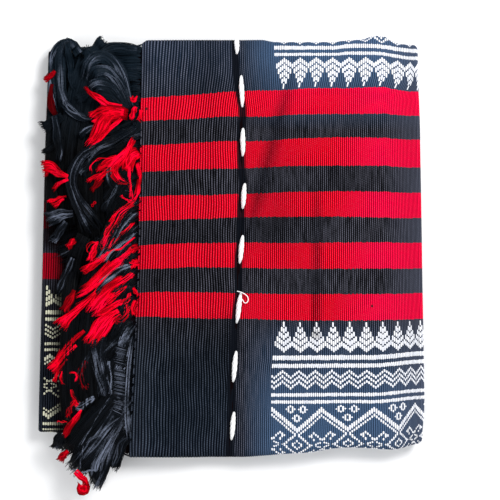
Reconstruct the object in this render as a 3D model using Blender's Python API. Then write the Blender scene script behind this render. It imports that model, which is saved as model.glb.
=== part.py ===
"""A handwoven blanket with knotted fringes, folded to a small packet and laid flat.

The cloth is one piece. It is folded in four along its warp, so that both fringed ends lie
together on one side, and then in three across its width, with both outer thirds
underneath. A row of long tacking stitches runs across the top.

Metres, +Z up. The packet lies on z = 0 and its origin is the middle of its base. +X runs
along the warp, away from the fringes, and +Y points at the far folded edge.
"""

import math

import bmesh
import bpy
from mathutils import Vector

# The cloth
CLOTH_THICKNESS = 0.0016
LAYER_GAP = 0.0006  # air between two layers
CLOTH_WIDTH = 1.160  # from selvedge to selvedge
STRIPE_PERIOD = 0.0516  # one red stripe and one black one
RED_MIDDLE_Y = 0.042  # the middle red stripe, on top of the packet

# The packet's four edges, and where the two fringed ends lie in it
PACKET_LEFT, PACKET_RIGHT = -0.194, 0.193
PACKET_NEAR, PACKET_FAR = -0.210, 0.210
UPPER_END_X, LOWER_END_X = -0.097, -0.104

# The fringe: warp ends in locks, which hang from a narrow heading
SEAM_GAP = 0.0003
HEADING_DEPTH = 0.005
LOCKS_PER_PERIOD = 4
LOCK_ROOT_WIDTH = 0.0074
LOCK_FILL = 0.33  # a lock's half width, as a share of the room between two locks
LEAN_AT_ROOT = 0.35  # how far into its smooth change of heading a lock starts
TURN_LOCK_STEP = 3.5  # the step of an edge's turn that a lock grows from
UNDER_LOCK_END_X = -0.182

# The tacking stitches
STITCH_RADIUS = 0.0026
STITCH_SIDES = 8
STITCH_RINGS = 8
STITCH_LIFT = 0.0006

LAYER_PITCH = CLOTH_THICKNESS + LAYER_GAP
LAYER_DEPTHS = [CLOTH_THICKNESS / 2 + LAYER_PITCH * layer for layer in range(4)]
STACK = 4 * CLOTH_THICKNESS + 3 * LAYER_GAP
OUTER_TURN = (LAYER_DEPTHS[3] - LAYER_DEPTHS[0]) / 2
INNER_TURN = LAYER_PITCH / 2
EDGE_RADIUS = STACK + LAYER_GAP / 2
THIRD_LIFT = STACK + LAYER_GAP

RIGHT_TURN_X = PACKET_RIGHT - OUTER_TURN - CLOTH_THICKNESS / 2
LEFT_TURN_X = PACKET_LEFT + INNER_TURN + CLOTH_THICKNESS / 2
FAR_TURN_Y = PACKET_FAR - EDGE_RADIUS
NEAR_TURN_Y = PACKET_NEAR + EDGE_RADIUS
FAR_TURN_WEFT = RED_MIDDLE_Y - FAR_TURN_Y
NEAR_TURN_WEFT = RED_MIDDLE_Y - NEAR_TURN_Y

# The top third comes down behind the end of the third that is folded in beneath it
STEP_START_Y, STEP_END_Y = 0.186, 0.112
TOP_HEIGHT = 2 * EDGE_RADIUS + THIRD_LIFT

# Where the cloth's own grid has its lines: across the packet, and along it on the top third
CREASE_LINES_X = [
    -0.088, -0.072, -0.050, -0.030, -0.017, -0.007, 0.001, 0.007, 0.013, 0.024, 0.052, 0.100, 0.150,
]
CORNER_START_X, CORNER_END_X = -0.112, -0.158  # where the near edge draws in to its left corner
LEFT_LINES_X = [CORNER_END_X, CORNER_START_X]
CREASE_LINES_Y = [0.186, 0.168, 0.149, 0.130, 0.112, 0.070, 0.020, -0.040, -0.100, -0.160]
TURN_STEPS, TIGHT_TURN_STEPS, EDGE_TURN_STEPS = 6, 4, 6
UNDER_STEPS = 3

# The packet's unevenness: how far each side edge stands in at y = 0 and its slant, how far
# the fringed ends lean out at the near edge, and how far the corners draw in
LEFT_SKEW, LEFT_SLANT = 0.004, 0.022
RIGHT_SKEW, RIGHT_SLANT = -0.003, -0.016
END_LEAN, END_LEAN_X, END_LEAN_WIDTH = -0.006, -0.105, 0.035
NEAR_LEFT_DRAW, NEAR_RIGHT_DRAW, FAR_RIGHT_DRAW = 0.021, 0.010, -0.005
STRIPE_BOWS = [
    # y, half_width, sag at the fringed end
    (0.130, 0.040, -0.0075),
    (-0.090, 0.060, 0.0030),
]

# Soft creases on the top, running from the far edge to the near one. x and half width are
# given at both edges, and a trough has a negative height.
CREASES = [
    # x_far, x_near, half_width_far, half_width_near, height_far, height_near
    (0.006, 0.002, 0.007, 0.009, -0.0024, -0.0028),
    (-0.004, -0.018, 0.008, 0.014, -0.0004, -0.0034),
    (-0.056, -0.062, 0.026, 0.024, 0.0028, 0.0024),
    (0.060, 0.070, 0.040, 0.046, 0.0016, 0.0022),
]

# How the locks of each end lie: the weft place of a row, the lean of a lock there from
# straight out towards the near edge, how far it curls on, its length and its hump.
UPPER_LOCKS = [
    # weft, lean_deg, curl_deg, length, hump
    (-0.160, -24, 54, 0.088, 0.0050),
    (-0.130, -4, 48, 0.086, 0.0060),
    (-0.100, 20, 34, 0.086, 0.0050),
    (-0.050, 38, 20, 0.090, 0.0030),
    (0.000, 48, 8, 0.095, 0.0024),
    (0.050, 54, 2, 0.098, 0.0030),
    (0.100, 56, 0, 0.098, 0.0036),
    (0.150, 58, 2, 0.094, 0.0040),
    (0.200, 60, 4, 0.096, 0.0040),
    (0.250, 58, 6, 0.088, 0.0016),
]
LOWER_LOCKS = [
    (-0.160, 0, 0, 0.082, 0.0),
    (-0.100, 4, 0, 0.084, 0.0),
    (-0.050, 14, 6, 0.086, 0.0),
    (0.030, 34, 4, 0.088, 0.0),
    (0.080, 50, 2, 0.086, 0.0),
    (0.150, 56, 0, 0.085, 0.0),
    (0.200, 56, 0, 0.080, 0.0),
    (0.250, 54, 0, 0.066, 0.0),
]

# A lock of each end from its knot to its tip: how far along it a ring lies, its width as a
# share of its room, its half height, and how deep it lies below the packet's top
UPPER_LOCK = [
    # share, fill, half_height, depth
    (0.06, 1.15, 0.0024, -0.0012),
    (0.13, 0.78, 0.0016, -0.0006),
    (0.28, 1.00, 0.0020, -0.0013),
    (0.46, 1.00, 0.0021, -0.0015),
    (0.64, 0.95, 0.0020, -0.0014),
    (0.83, 0.86, 0.0017, -0.0011),
    (1.00, 0.60, 0.0012, -0.0006),
]
LOWER_LOCK = [
    (0.06, 1.10, 0.0012, 0.0028),
    (0.13, 0.78, 0.0009, 0.0030),
    (0.28, 1.00, 0.0011, 0.0029),
    (0.46, 1.00, 0.0011, 0.0029),
    (0.64, 0.95, 0.0011, 0.0029),
    (0.83, 0.86, 0.0010, 0.0030),
    (1.00, 0.60, 0.0008, 0.0032),
]

# Past the near edge the locks come down to the floor: where that starts, and how far it takes
UPPER_FALL = (0.011, 0.030)
LOWER_FALL = (0.007, 0.028)
FLOOR_CLEARANCE = 0.0001

# The tacking stitches, one after the other across the top
STITCHES = [
    # weft of the middle, length, x_far, x_near
    (-0.1630, 0.022, 0.0040, 0.0040),
    (-0.1155, 0.035, 0.0055, 0.0125),
    (-0.0640, 0.031, 0.0105, 0.0105),
    (-0.0100, 0.028, 0.0125, 0.0105),
    (0.0435, 0.031, 0.0105, 0.0075),
    (0.1025, 0.033, 0.0085, 0.0045),
    (0.1610, 0.034, 0.0040, 0.0010),
    (0.2205, 0.031, 0.0020, -0.0005),
]

# Tones
BLACK_CLOTH = (0.010, 0.012, 0.018, 1.0)
UPPER_YARN = (0.060, 0.008, 0.014, 1.0)
LOWER_YARN = (0.014, 0.012, 0.016, 1.0)
WHITE_YARN = (0.86, 0.85, 0.82, 1.0)


def ease(share):
    """0 at and below 0, 1 at and above 1, and smooth between."""
    share = min(1.0, max(0.0, share))
    return share * share * (3 - 2 * share)


def bump(at, middle, width):
    """1 at the middle, and falling softly to nothing on both sides."""
    return math.exp(-(((at - middle) / width) ** 2))


def read_row(rows, at):
    """The other columns of a table at a place between two values of its first column."""
    for low, high in zip(rows, rows[1:]):
        if at <= high[0]:
            break
    share = (at - low[0]) / (high[0] - low[0])
    return [a + (b - a) * share for a, b in zip(low[1:], high[1:])]


def fold_length(warp, face):
    """Folds the cloth in four. warp is the way along it from its upper end, and face the way
    off its middle towards its right side. Gives x and the depth in the stack of four."""
    outer, inner = LAYER_DEPTHS[0], LAYER_DEPTHS[1]
    centre = (LAYER_DEPTHS[0] + LAYER_DEPTHS[3]) / 2
    top_run = RIGHT_TURN_X - UPPER_END_X
    full_run = RIGHT_TURN_X - LEFT_TURN_X
    if warp <= top_run:
        return UPPER_END_X + warp, outer - face
    warp -= top_run
    if warp <= math.pi * OUTER_TURN:
        turn = warp / OUTER_TURN
        reach = OUTER_TURN + face
        return RIGHT_TURN_X + reach * math.sin(turn), centre - reach * math.cos(turn)
    warp -= math.pi * OUTER_TURN
    if warp <= full_run:
        return RIGHT_TURN_X - warp, LAYER_DEPTHS[3] + face
    warp -= full_run
    if warp <= math.pi * INNER_TURN:
        turn = warp / INNER_TURN
        reach = INNER_TURN + face
        middle = (LAYER_DEPTHS[2] + LAYER_DEPTHS[3]) / 2
        return LEFT_TURN_X - reach * math.sin(turn), middle + reach * math.cos(turn)
    warp -= math.pi * INNER_TURN
    if warp <= full_run:
        return LEFT_TURN_X + warp, LAYER_DEPTHS[2] - face
    warp -= full_run
    if warp <= math.pi * INNER_TURN:
        turn = warp / INNER_TURN
        reach = INNER_TURN - face
        return RIGHT_TURN_X + reach * math.sin(turn), centre + reach * math.cos(turn)
    warp -= math.pi * INNER_TURN
    return RIGHT_TURN_X - warp, inner + face


def step_up(y):
    """How far the top third has risen onto the third that is folded in beneath it."""
    return THIRD_LIFT * ease((STEP_START_Y - y) / (STEP_START_Y - STEP_END_Y))


def fold_width(weft, depth):
    """Folds the stack in three. weft is the way across the cloth from the middle red stripe,
    and depth the way in from the stack's outer face. Gives y and z."""
    reach = EDGE_RADIUS - depth
    top_run = NEAR_TURN_WEFT - FAR_TURN_WEFT
    along = weft - FAR_TURN_WEFT
    if along < 0:
        turn = min(math.pi, -along / EDGE_RADIUS)
        under = max(0.0, -along - math.pi * EDGE_RADIUS)
        y = FAR_TURN_Y + reach * math.sin(turn) - under
        return y, EDGE_RADIUS + reach * math.cos(turn)
    if along <= top_run:
        y = FAR_TURN_Y - along
        return y, EDGE_RADIUS + reach + step_up(y)
    turn = min(math.pi, (along - top_run) / EDGE_RADIUS)
    under = max(0.0, along - top_run - math.pi * EDGE_RADIUS)
    y = NEAR_TURN_Y - reach * math.sin(turn) + under
    return y, THIRD_LIFT + EDGE_RADIUS + reach * math.cos(turn)


def crease_height(x, y):
    """The height of the soft creases at a place on the top."""
    near = ease((PACKET_FAR - y) / (PACKET_FAR - PACKET_NEAR))
    height = 0.0
    for x_far, x_near, width_far, width_near, height_far, height_near in CREASES:
        middle = x_far + (x_near - x_far) * near
        width = width_far + (width_near - width_far) * near
        tall = height_far + (height_near - height_far) * near
        height += tall * bump(x, middle, width)
    return height


def settle(x, y, z):
    """Gives the packet its hand-folded unevenness: its skewed edges, bowed stripes and creases.
    Nothing moves on the base but sideways."""
    height = crease_height(x, y) * max(0.0, z) / TOP_HEIGHT
    to_right = ease((x - PACKET_LEFT) / (PACKET_RIGHT - PACKET_LEFT))
    left_skew = LEFT_SKEW + LEFT_SLANT * y
    right_skew = RIGHT_SKEW + RIGHT_SLANT * y
    end_lean = END_LEAN * ease(-y / PACKET_FAR) * bump(x, END_LEAN_X, END_LEAN_WIDTH)
    into_corner = min(1.0, max(0.0, (CORNER_START_X - x) / (CORNER_START_X - CORNER_END_X)))
    near_draw = NEAR_RIGHT_DRAW * ease(x / 0.12) + NEAR_LEFT_DRAW * into_corner
    far_draw = FAR_RIGHT_DRAW * ease((x - 0.145) / 0.045)
    bow = sum(sag * bump(y, middle, width) for middle, width, sag in STRIPE_BOWS)
    return (
        x + left_skew + (right_skew - left_skew) * to_right + end_lean,
        y
        + near_draw * ease((-0.03 - y) / 0.18)
        + far_draw * ease((y - 0.12) / 0.08)
        + bow * ease((0.010 - x) / 0.105),
        z + height,
    )


def cloth_point(warp, weft, face):
    """Where a point of the flat cloth lies in the folded packet."""
    x, depth = fold_length(warp, face)
    return settle(x, *fold_width(weft, depth))


def warp_stations():
    """The grid's lines along the warp: the same places in every layer, and the steps of each turn."""
    full_lines = LEFT_LINES_X + [UPPER_END_X] + CREASE_LINES_X
    top_run = RIGHT_TURN_X - UPPER_END_X
    full_run = RIGHT_TURN_X - LEFT_TURN_X
    stations = [0.0] + [x - UPPER_END_X for x in CREASE_LINES_X]
    start = top_run
    stations += [start + math.pi * OUTER_TURN * step / TURN_STEPS for step in range(TURN_STEPS)]
    start += math.pi * OUTER_TURN
    stations += [start] + [start + RIGHT_TURN_X - x for x in reversed(full_lines)]
    start += full_run
    tight = [math.pi * INNER_TURN * step / TIGHT_TURN_STEPS for step in range(TIGHT_TURN_STEPS)]
    stations += [start + step for step in tight]
    start += math.pi * INNER_TURN
    stations += [start] + [start + x - LEFT_TURN_X for x in full_lines]
    start += full_run
    stations += [start + step for step in tight]
    start += math.pi * INNER_TURN
    last_lines = [LOWER_END_X, UPPER_END_X] + CREASE_LINES_X
    return stations + [start] + [start + RIGHT_TURN_X - x for x in reversed(last_lines)]


def weft_stations():
    """The grid's lines across the cloth, from selvedge to selvedge."""
    turn = math.pi * EDGE_RADIUS
    far_end, near_end = -CLOTH_WIDTH / 2, CLOTH_WIDTH / 2
    far_run = FAR_TURN_WEFT - turn - far_end
    near_run = near_end - NEAR_TURN_WEFT - turn
    stations = [far_end + far_run * step / UNDER_STEPS for step in range(UNDER_STEPS)]
    stations += [
        FAR_TURN_WEFT - turn * (1 - step / EDGE_TURN_STEPS) for step in range(EDGE_TURN_STEPS)
    ]
    stations += [FAR_TURN_WEFT] + [RED_MIDDLE_Y - y for y in CREASE_LINES_Y] + [NEAR_TURN_WEFT]
    stations += [
        NEAR_TURN_WEFT + turn * (step + 1) / EDGE_TURN_STEPS for step in range(EDGE_TURN_STEPS)
    ]
    return stations + [
        NEAR_TURN_WEFT + turn + near_run * (step + 1) / UNDER_STEPS for step in range(UNDER_STEPS)
    ]


def flat_slab(along, across, thickness):
    """A flat slab, centred in height, with grid lines at the given places along X and -Y."""
    mesh = bmesh.new()
    bmesh.ops.create_grid(
        mesh, x_segments=len(along) - 1, y_segments=len(across) - 1, size=0.5
    )
    for vert in mesh.verts:
        column = round((vert.co.x + 0.5) * (len(along) - 1))
        row = round((0.5 - vert.co.y) * (len(across) - 1))
        vert.co = (along[column], -across[row], thickness / 2)
    bmesh.ops.solidify(mesh, geom=mesh.faces[:], thickness=thickness)
    return mesh


def material(name, color, roughness):
    """A plain yarn material."""
    made = bpy.data.materials.new(name)
    made.use_nodes = True
    shader = made.node_tree.nodes["Principled BSDF"]
    shader.inputs["Base Color"].default_value = color
    shader.inputs["Roughness"].default_value = roughness
    shader.inputs["Metallic"].default_value = 0.0
    return made


def add_object(name, mesh, look, parts):
    """An object in the blanket's collection, made from a bmesh that is then freed."""
    data = bpy.data.meshes.new(name)
    mesh.to_mesh(data)
    mesh.free()
    data.materials.append(look)
    made = bpy.data.objects.new(name, data)
    parts.objects.link(made)
    return made


def make_cloth(look, parts):
    """The whole cloth, cut flat and then folded."""
    mesh = flat_slab(warp_stations(), weft_stations(), CLOTH_THICKNESS)
    for vert in mesh.verts:
        vert.co = cloth_point(vert.co.x, -vert.co.y, vert.co.z)
    cloth = add_object("folded_cloth", mesh, look, parts)
    cloth.data.shade_smooth()
    cloth.data.set_sharp_from_angle(angle=math.radians(50))


def lay_by_rows(x, weft, depth):
    """Where a point lies on the folded cloth's own flat faces, between two lines of its grid."""
    rows = weft_stations()
    for low, high in zip(rows, rows[1:]):
        if weft <= high:
            break
    share = (weft - low) / (high - low)
    start = Vector(settle(x, *fold_width(low, depth)))
    return start.lerp(Vector(settle(x, *fold_width(high, depth))), share)


def lay_lock(x, weft, depth, fall):
    """As lay_by_rows on the top third, but past the near edge a lock comes down to the floor."""
    past = weft - NEAR_TURN_WEFT
    if past <= 0:
        return lay_by_rows(x, weft, depth)
    _, _, half_height, deep = LOWER_LOCK[2]
    lowest = TOP_HEIGHT - deep - half_height - FLOOR_CLEARANCE
    start, run = fall
    height = TOP_HEIGHT - depth - lowest * ease((past - start) / run)
    return Vector(settle(x, NEAR_TURN_Y - past, height))


def top_lock_rings(rows, end_x, weft, profile, fall):
    """The four corners of each ring of a lock that lies over the top third."""
    lean, curl, length, hump = read_row(rows, weft)
    room = STRIPE_PERIOD / LOCKS_PER_PERIOD
    x = end_x - SEAM_GAP - HEADING_DEPTH
    gone = 0.0
    rings = []
    for share, fill, half_height, depth in profile:
        turned = ease(LEAN_AT_ROOT + (1 - LEAN_AT_ROOT) * share)
        heading = math.radians(lean * turned + curl * share**2)
        x -= length * (share - gone) * math.cos(heading)
        weft += length * (share - gone) * math.sin(heading)
        gone = share
        half_width = LOCK_FILL * room * math.cos(heading) * fill
        rise = hump * math.sin(math.pi * share)
        ring = {}
        for side in (-1, 1):
            for up in (-1, 1):
                ring[side, up] = lay_lock(
                    x + side * half_width * math.sin(heading),
                    weft + side * half_width * math.cos(heading),
                    depth - rise - up * half_height,
                    fall,
                )
        rings.append(ring)
    return rings


def under_lock_rings(weft, half_width, depth):
    """The rings of a lock that lies flat beside an edge's turn or between folded-under layers."""
    rings = []
    for x in (CORNER_START_X, CORNER_END_X, UNDER_LOCK_END_X):
        ring = {}
        for side in (-1, 1):
            for up in (-1, 1):
                height = depth - up * CLOTH_THICKNESS / 2
                ring[side, up] = lay_by_rows(x, weft + side * half_width, height)
        rings.append(ring)
    return rings


def grow_lock(mesh, face, corners, rings):
    """Draws a lock out of one face of its heading, ring by ring."""
    for ring in rings:
        face = bmesh.ops.extrude_discrete_faces(mesh, faces=[face])["faces"][0]
        for vert, corner in zip(face.verts, corners):
            vert.co = ring[corner]


def lock_places():
    """The weft place and half width of every lock's root, and whether the lock lies on the top
    third. Each edge's turn has one, and the folded-under thirds are drawn at half the number."""
    pitch = STRIPE_PERIOD / LOCKS_PER_PERIOD
    turn = math.pi * EDGE_RADIUS
    step = turn / EDGE_TURN_STEPS
    count = int(CLOTH_WIDTH / pitch / 2)
    places = [(FAR_TURN_WEFT - TURN_LOCK_STEP * step, step / 2, False)]
    for number in range(-count, count):
        weft = (number + 0.5) * pitch
        past = max(weft - NEAR_TURN_WEFT, FAR_TURN_WEFT - weft)
        if past < 0 or (past > turn and number % 2):
            places.append((weft, LOCK_ROOT_WIDTH / 2, past < 0))
    return sorted(places + [(NEAR_TURN_WEFT + TURN_LOCK_STEP * step, step / 2, False)])


def make_fringe(name, rows, end_x, heading_depth, profile, fall, look, parts):
    """The fringe of one end: a heading along the cloth's edge, and the locks that grow from it."""
    places = lock_places()
    across = [weft + side * half_width for weft, half_width, _ in places for side in (-1, 1)]
    for station in weft_stations():
        if all(abs(station - weft) > half_width + SEAM_GAP for weft, half_width, _ in places):
            across.append(station)
    across.sort()
    along = [end_x - SEAM_GAP - HEADING_DEPTH, end_x - SEAM_GAP]
    mesh = flat_slab(along, across, CLOTH_THICKNESS)
    mesh.normal_update()
    outer_faces = [face for face in mesh.faces if face.normal.x < -0.9]
    growing = []
    for place in places:
        weft = place[0]
        face = min(outer_faces, key=lambda side: abs(side.calc_center_median().y + weft))
        corners = [
            (math.copysign(1, -vert.co.y - weft), math.copysign(1, vert.co.z)) for vert in face.verts
        ]
        growing.append((face, corners, place))
    for vert in mesh.verts:
        vert.co = lay_by_rows(vert.co.x, -vert.co.y, heading_depth - vert.co.z)
    for face, corners, (weft, half_width, on_top) in growing:
        if on_top:
            rings = top_lock_rings(rows, end_x, weft, profile, fall)
        else:
            rings = under_lock_rings(weft, half_width, heading_depth)
        grow_lock(mesh, face, corners, rings)
    add_object(name, mesh, look, parts)


def make_stitch(name, weft, length, x_far, x_near, look, parts):
    """One tacking stitch, a soft thick yarn with rounded ends, laid along the cloth's top."""
    mesh = bmesh.new()
    bmesh.ops.create_uvsphere(
        mesh, u_segments=STITCH_SIDES, v_segments=STITCH_RINGS, radius=1.0
    )
    for vert in mesh.verts:
        share = math.acos(max(-1.0, min(1.0, vert.co.z))) / math.pi
        round_out = math.hypot(vert.co.x, vert.co.y) or 1.0
        reach = STITCH_RADIUS * math.sqrt(math.sin(math.pi * share)) / round_out
        across, up = vert.co.x * reach, vert.co.y * reach
        x = x_far + (x_near - x_far) * share - across
        place = weft + length * (share - 0.5)
        vert.co = settle(x, *fold_width(place, -STITCH_LIFT - STITCH_RADIUS - up))
    add_object(name, mesh, look, parts)


def main():
    for old in list(bpy.data.objects):
        bpy.data.objects.remove(old)
    parts = bpy.data.collections.new("handwoven_blanket")
    bpy.context.scene.collection.children.link(parts)
    cloth = material("woven_cloth", BLACK_CLOTH, 0.9)
    upper = material("upper_fringe_yarn", UPPER_YARN, 0.85)
    lower = material("lower_fringe_yarn", LOWER_YARN, 0.85)
    white = material("white_yarn", WHITE_YARN, 0.8)
    make_cloth(cloth, parts)
    make_fringe(
        "upper_fringe", UPPER_LOCKS, UPPER_END_X, LAYER_DEPTHS[0], UPPER_LOCK, UPPER_FALL, upper, parts
    )
    make_fringe(
        "lower_fringe", LOWER_LOCKS, LOWER_END_X, LAYER_DEPTHS[1], LOWER_LOCK, LOWER_FALL, lower, parts
    )
    for number, stitch in enumerate(STITCHES, start=1):
        make_stitch(f"stitch_{number}", *stitch, white, parts)


main()
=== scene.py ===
"""The looks of a handwoven blanket, folded to a packet and laid flat.

Ribbed black cloth with red warp stripes and woven bands of white pattern, knotted fringes
in black and red, and a row of white tacking stitches. Metres, +Z up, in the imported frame.
"""

import math

import bpy
import numpy as np
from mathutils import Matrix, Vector


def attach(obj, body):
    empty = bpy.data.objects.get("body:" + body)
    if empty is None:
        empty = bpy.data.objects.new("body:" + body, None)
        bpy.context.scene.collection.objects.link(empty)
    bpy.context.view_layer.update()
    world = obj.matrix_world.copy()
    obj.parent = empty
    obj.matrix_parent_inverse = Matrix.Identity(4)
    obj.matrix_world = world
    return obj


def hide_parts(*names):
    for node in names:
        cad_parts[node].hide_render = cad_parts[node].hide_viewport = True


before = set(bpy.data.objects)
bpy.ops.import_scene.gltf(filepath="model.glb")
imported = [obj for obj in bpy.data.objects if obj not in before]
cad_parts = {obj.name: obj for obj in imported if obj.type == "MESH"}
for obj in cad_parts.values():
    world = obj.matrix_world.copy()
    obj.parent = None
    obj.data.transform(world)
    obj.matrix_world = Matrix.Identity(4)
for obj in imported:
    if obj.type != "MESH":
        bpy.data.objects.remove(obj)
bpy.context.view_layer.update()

bl_info = {
    "name": "Handwoven Blanket",
    "version": (1, 0, 0),
    "blender": (4, 5, 0),
    "location": "View3D > Sidebar > Blanket",
    "description": "Weaves, folds and fringes a handwoven blanket on its packed frame",
    "category": "Object",
}

MM = 0.001

# The folded packet, as in the part's own source
CLOTH_THICKNESS = 0.0016
LAYER_GAP = 0.0006
CLOTH_WIDTH = 1.160
RED_MIDDLE_Y = 0.042
PACKET_LEFT, PACKET_RIGHT = -0.194, 0.193
PACKET_NEAR, PACKET_FAR = -0.210, 0.210
UPPER_END_X, LOWER_END_X = -0.097, -0.104
LAYER_PITCH = CLOTH_THICKNESS + LAYER_GAP
LAYER_DEPTHS = [CLOTH_THICKNESS / 2 + LAYER_PITCH * layer for layer in range(4)]
STACK = 4 * CLOTH_THICKNESS + 3 * LAYER_GAP
OUTER_TURN = (LAYER_DEPTHS[3] - LAYER_DEPTHS[0]) / 2
INNER_TURN = LAYER_PITCH / 2
EDGE_RADIUS = STACK + LAYER_GAP / 2
THIRD_LIFT = STACK + LAYER_GAP
RIGHT_TURN_X = PACKET_RIGHT - OUTER_TURN - CLOTH_THICKNESS / 2
LEFT_TURN_X = PACKET_LEFT + INNER_TURN + CLOTH_THICKNESS / 2
FAR_TURN_Y = PACKET_FAR - EDGE_RADIUS
NEAR_TURN_Y = PACKET_NEAR + EDGE_RADIUS
FAR_TURN_WEFT = RED_MIDDLE_Y - FAR_TURN_Y
NEAR_TURN_WEFT = RED_MIDDLE_Y - NEAR_TURN_Y
STEP_START_Y, STEP_END_Y = 0.186, 0.112
TOP_HEIGHT = 2 * EDGE_RADIUS + THIRD_LIFT
CORNER_START_X, CORNER_END_X = -0.112, -0.158
LEFT_SKEW, LEFT_SLANT = 0.004, 0.022
RIGHT_SKEW, RIGHT_SLANT = -0.003, -0.016
END_LEAN, END_LEAN_X, END_LEAN_WIDTH = -0.006, -0.105, 0.035
NEAR_LEFT_DRAW, NEAR_RIGHT_DRAW, FAR_RIGHT_DRAW = 0.021, 0.010, -0.005
STRIPE_BOWS = [(0.130, 0.040, -0.0075), (-0.090, 0.060, 0.0030)]
CREASES = [
    # x_far, x_near, half_width_far, half_width_near, height_far, height_near
    (0.006, 0.002, 0.007, 0.009, -0.0024, -0.0028),
    (-0.004, -0.018, 0.008, 0.014, -0.0004, -0.0034),
    (-0.056, -0.062, 0.026, 0.024, 0.0028, 0.0024),
    (0.060, 0.070, 0.040, 0.046, 0.0016, 0.0022),
]
STITCHES = [
    # weft of the middle, length, x_far, x_near
    (-0.1630, 0.022, 0.0040, 0.0040),
    (-0.1155, 0.035, 0.0055, 0.0125),
    (-0.0640, 0.031, 0.0105, 0.0105),
    (-0.0100, 0.028, 0.0125, 0.0105),
    (0.0435, 0.031, 0.0105, 0.0075),
    (0.1025, 0.033, 0.0085, 0.0045),
    (0.1610, 0.034, 0.0040, 0.0010),
    (0.2205, 0.031, 0.0020, -0.0005),
]

# The runs of the cloth along its warp, one after the other from the upper end
TOP_RUN = RIGHT_TURN_X - UPPER_END_X
FULL_RUN = RIGHT_TURN_X - LEFT_TURN_X
OUTER_ARC = math.pi * OUTER_TURN
INNER_ARC = math.pi * INNER_TURN
SECOND_START = TOP_RUN + OUTER_ARC
LEFT_ARC_START = SECOND_START + FULL_RUN
THIRD_START = LEFT_ARC_START + INNER_ARC
INNER_ARC_START = THIRD_START + FULL_RUN
LAST_START = INNER_ARC_START + INNER_ARC
CLOTH_LENGTH = LAST_START + RIGHT_TURN_X - LOWER_END_X

# Small folds of the top layer alone: from and to in plan, half width, height
SMALL_FOLDS = [
    # x_from, y_from, x_to, y_to, half_width, height
    (-0.083, -0.092, -0.085, -0.205, 0.0030, 0.0011),
    (-0.107, -0.165, -0.090, -0.206, 0.0026, 0.0014),
    (-0.074, -0.100, -0.070, -0.200, 0.0060, -0.0008),
    (0.089, 0.080, 0.089, -0.120, 0.0070, 0.0011),
    (0.080, 0.080, 0.079, -0.120, 0.0050, -0.0009),
    (0.0805, -0.045, 0.0805, -0.090, 0.0014, -0.0010),
    (0.060, 0.180, 0.018, 0.020, 0.0100, -0.0008),
    (-0.030, 0.190, -0.044, 0.020, 0.0110, 0.0008),
    (0.125, -0.060, 0.135, -0.190, 0.0160, 0.0008),
    (0.140, 0.120, 0.150, 0.000, 0.0140, 0.0007),
]
# Where each tack goes in, the cloth is drawn down round the yarn
PIT_RADIUS, PIT_DEPTH = 0.0042, 0.0010
RECESS_DEPTH = 0.0022
# How far small uneven places of the edges move: the near right corner, the near edge's two
# ripples, the notch and the tuck at the fringed end, a lower layer's hump and the far dip
CORNER_IN_X, CORNER_IN_Y = 0.0030, 0.0042
RIPPLES = 0.0020, 0.0024
NOTCH, TUCK, HUMP, DIP = 0.0090, 0.0065, 0.0056, 0.0021
FLOOR_GAP = 0.0004  # what would sink into the floor is pressed flat within this height

# The woven stripes and pattern, in millimetres across the cloth from the middle red stripe
RED_STRIPES = [(-118.0, -92.2), (-68.1, -41.1), (-15.0, 11.2), (36.2, 62.6), (87.5, 114.3)]
PATTERN_START = 0.137  # warp from each end
UNDER_SHIFT = 0.040  # how far the lower layers lie over towards the far edge
TREE_REPEAT, ZIGZAG_REPEAT = 8, 24
TREE_PHASE = 5


def ease(share):
    """0 at and below 0, 1 at and above 1, and smooth between."""
    share = np.clip(share, 0.0, 1.0)
    return share * share * (3 - 2 * share)


def bump(at, middle, width):
    """1 at the middle, and falling softly to nothing on both sides."""
    return np.exp(-(((at - middle) / width) ** 2))


def fold_length(warp, face):
    """Folds the cloth in four along its warp. Gives x and the depth in the stack of four."""
    warp, face = np.broadcast_arrays(np.asarray(warp, float), np.asarray(face, float))
    centre = (LAYER_DEPTHS[0] + LAYER_DEPTHS[3]) / 2
    low = (LAYER_DEPTHS[2] + LAYER_DEPTHS[3]) / 2
    outer = np.clip((warp - TOP_RUN) / OUTER_TURN, 0, math.pi)
    left = np.clip((warp - LEFT_ARC_START) / INNER_TURN, 0, math.pi)
    inner = np.clip((warp - INNER_ARC_START) / INNER_TURN, 0, math.pi)
    where = [
        warp <= TOP_RUN,
        warp <= SECOND_START,
        warp <= LEFT_ARC_START,
        warp <= THIRD_START,
        warp <= INNER_ARC_START,
        warp <= LAST_START,
    ]
    x = np.select(
        where,
        [
            UPPER_END_X + warp,
            RIGHT_TURN_X + (OUTER_TURN + face) * np.sin(outer),
            RIGHT_TURN_X - (warp - SECOND_START),
            LEFT_TURN_X - (INNER_TURN + face) * np.sin(left),
            LEFT_TURN_X + (warp - THIRD_START),
            RIGHT_TURN_X + (INNER_TURN - face) * np.sin(inner),
        ],
        RIGHT_TURN_X - (warp - LAST_START),
    )
    depth = np.select(
        where,
        [
            LAYER_DEPTHS[0] - face,
            centre - (OUTER_TURN + face) * np.cos(outer),
            LAYER_DEPTHS[3] + face,
            low + (INNER_TURN + face) * np.cos(left),
            LAYER_DEPTHS[2] - face,
            centre + (INNER_TURN - face) * np.cos(inner),
        ],
        LAYER_DEPTHS[1] + face,
    )
    return x, depth


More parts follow.
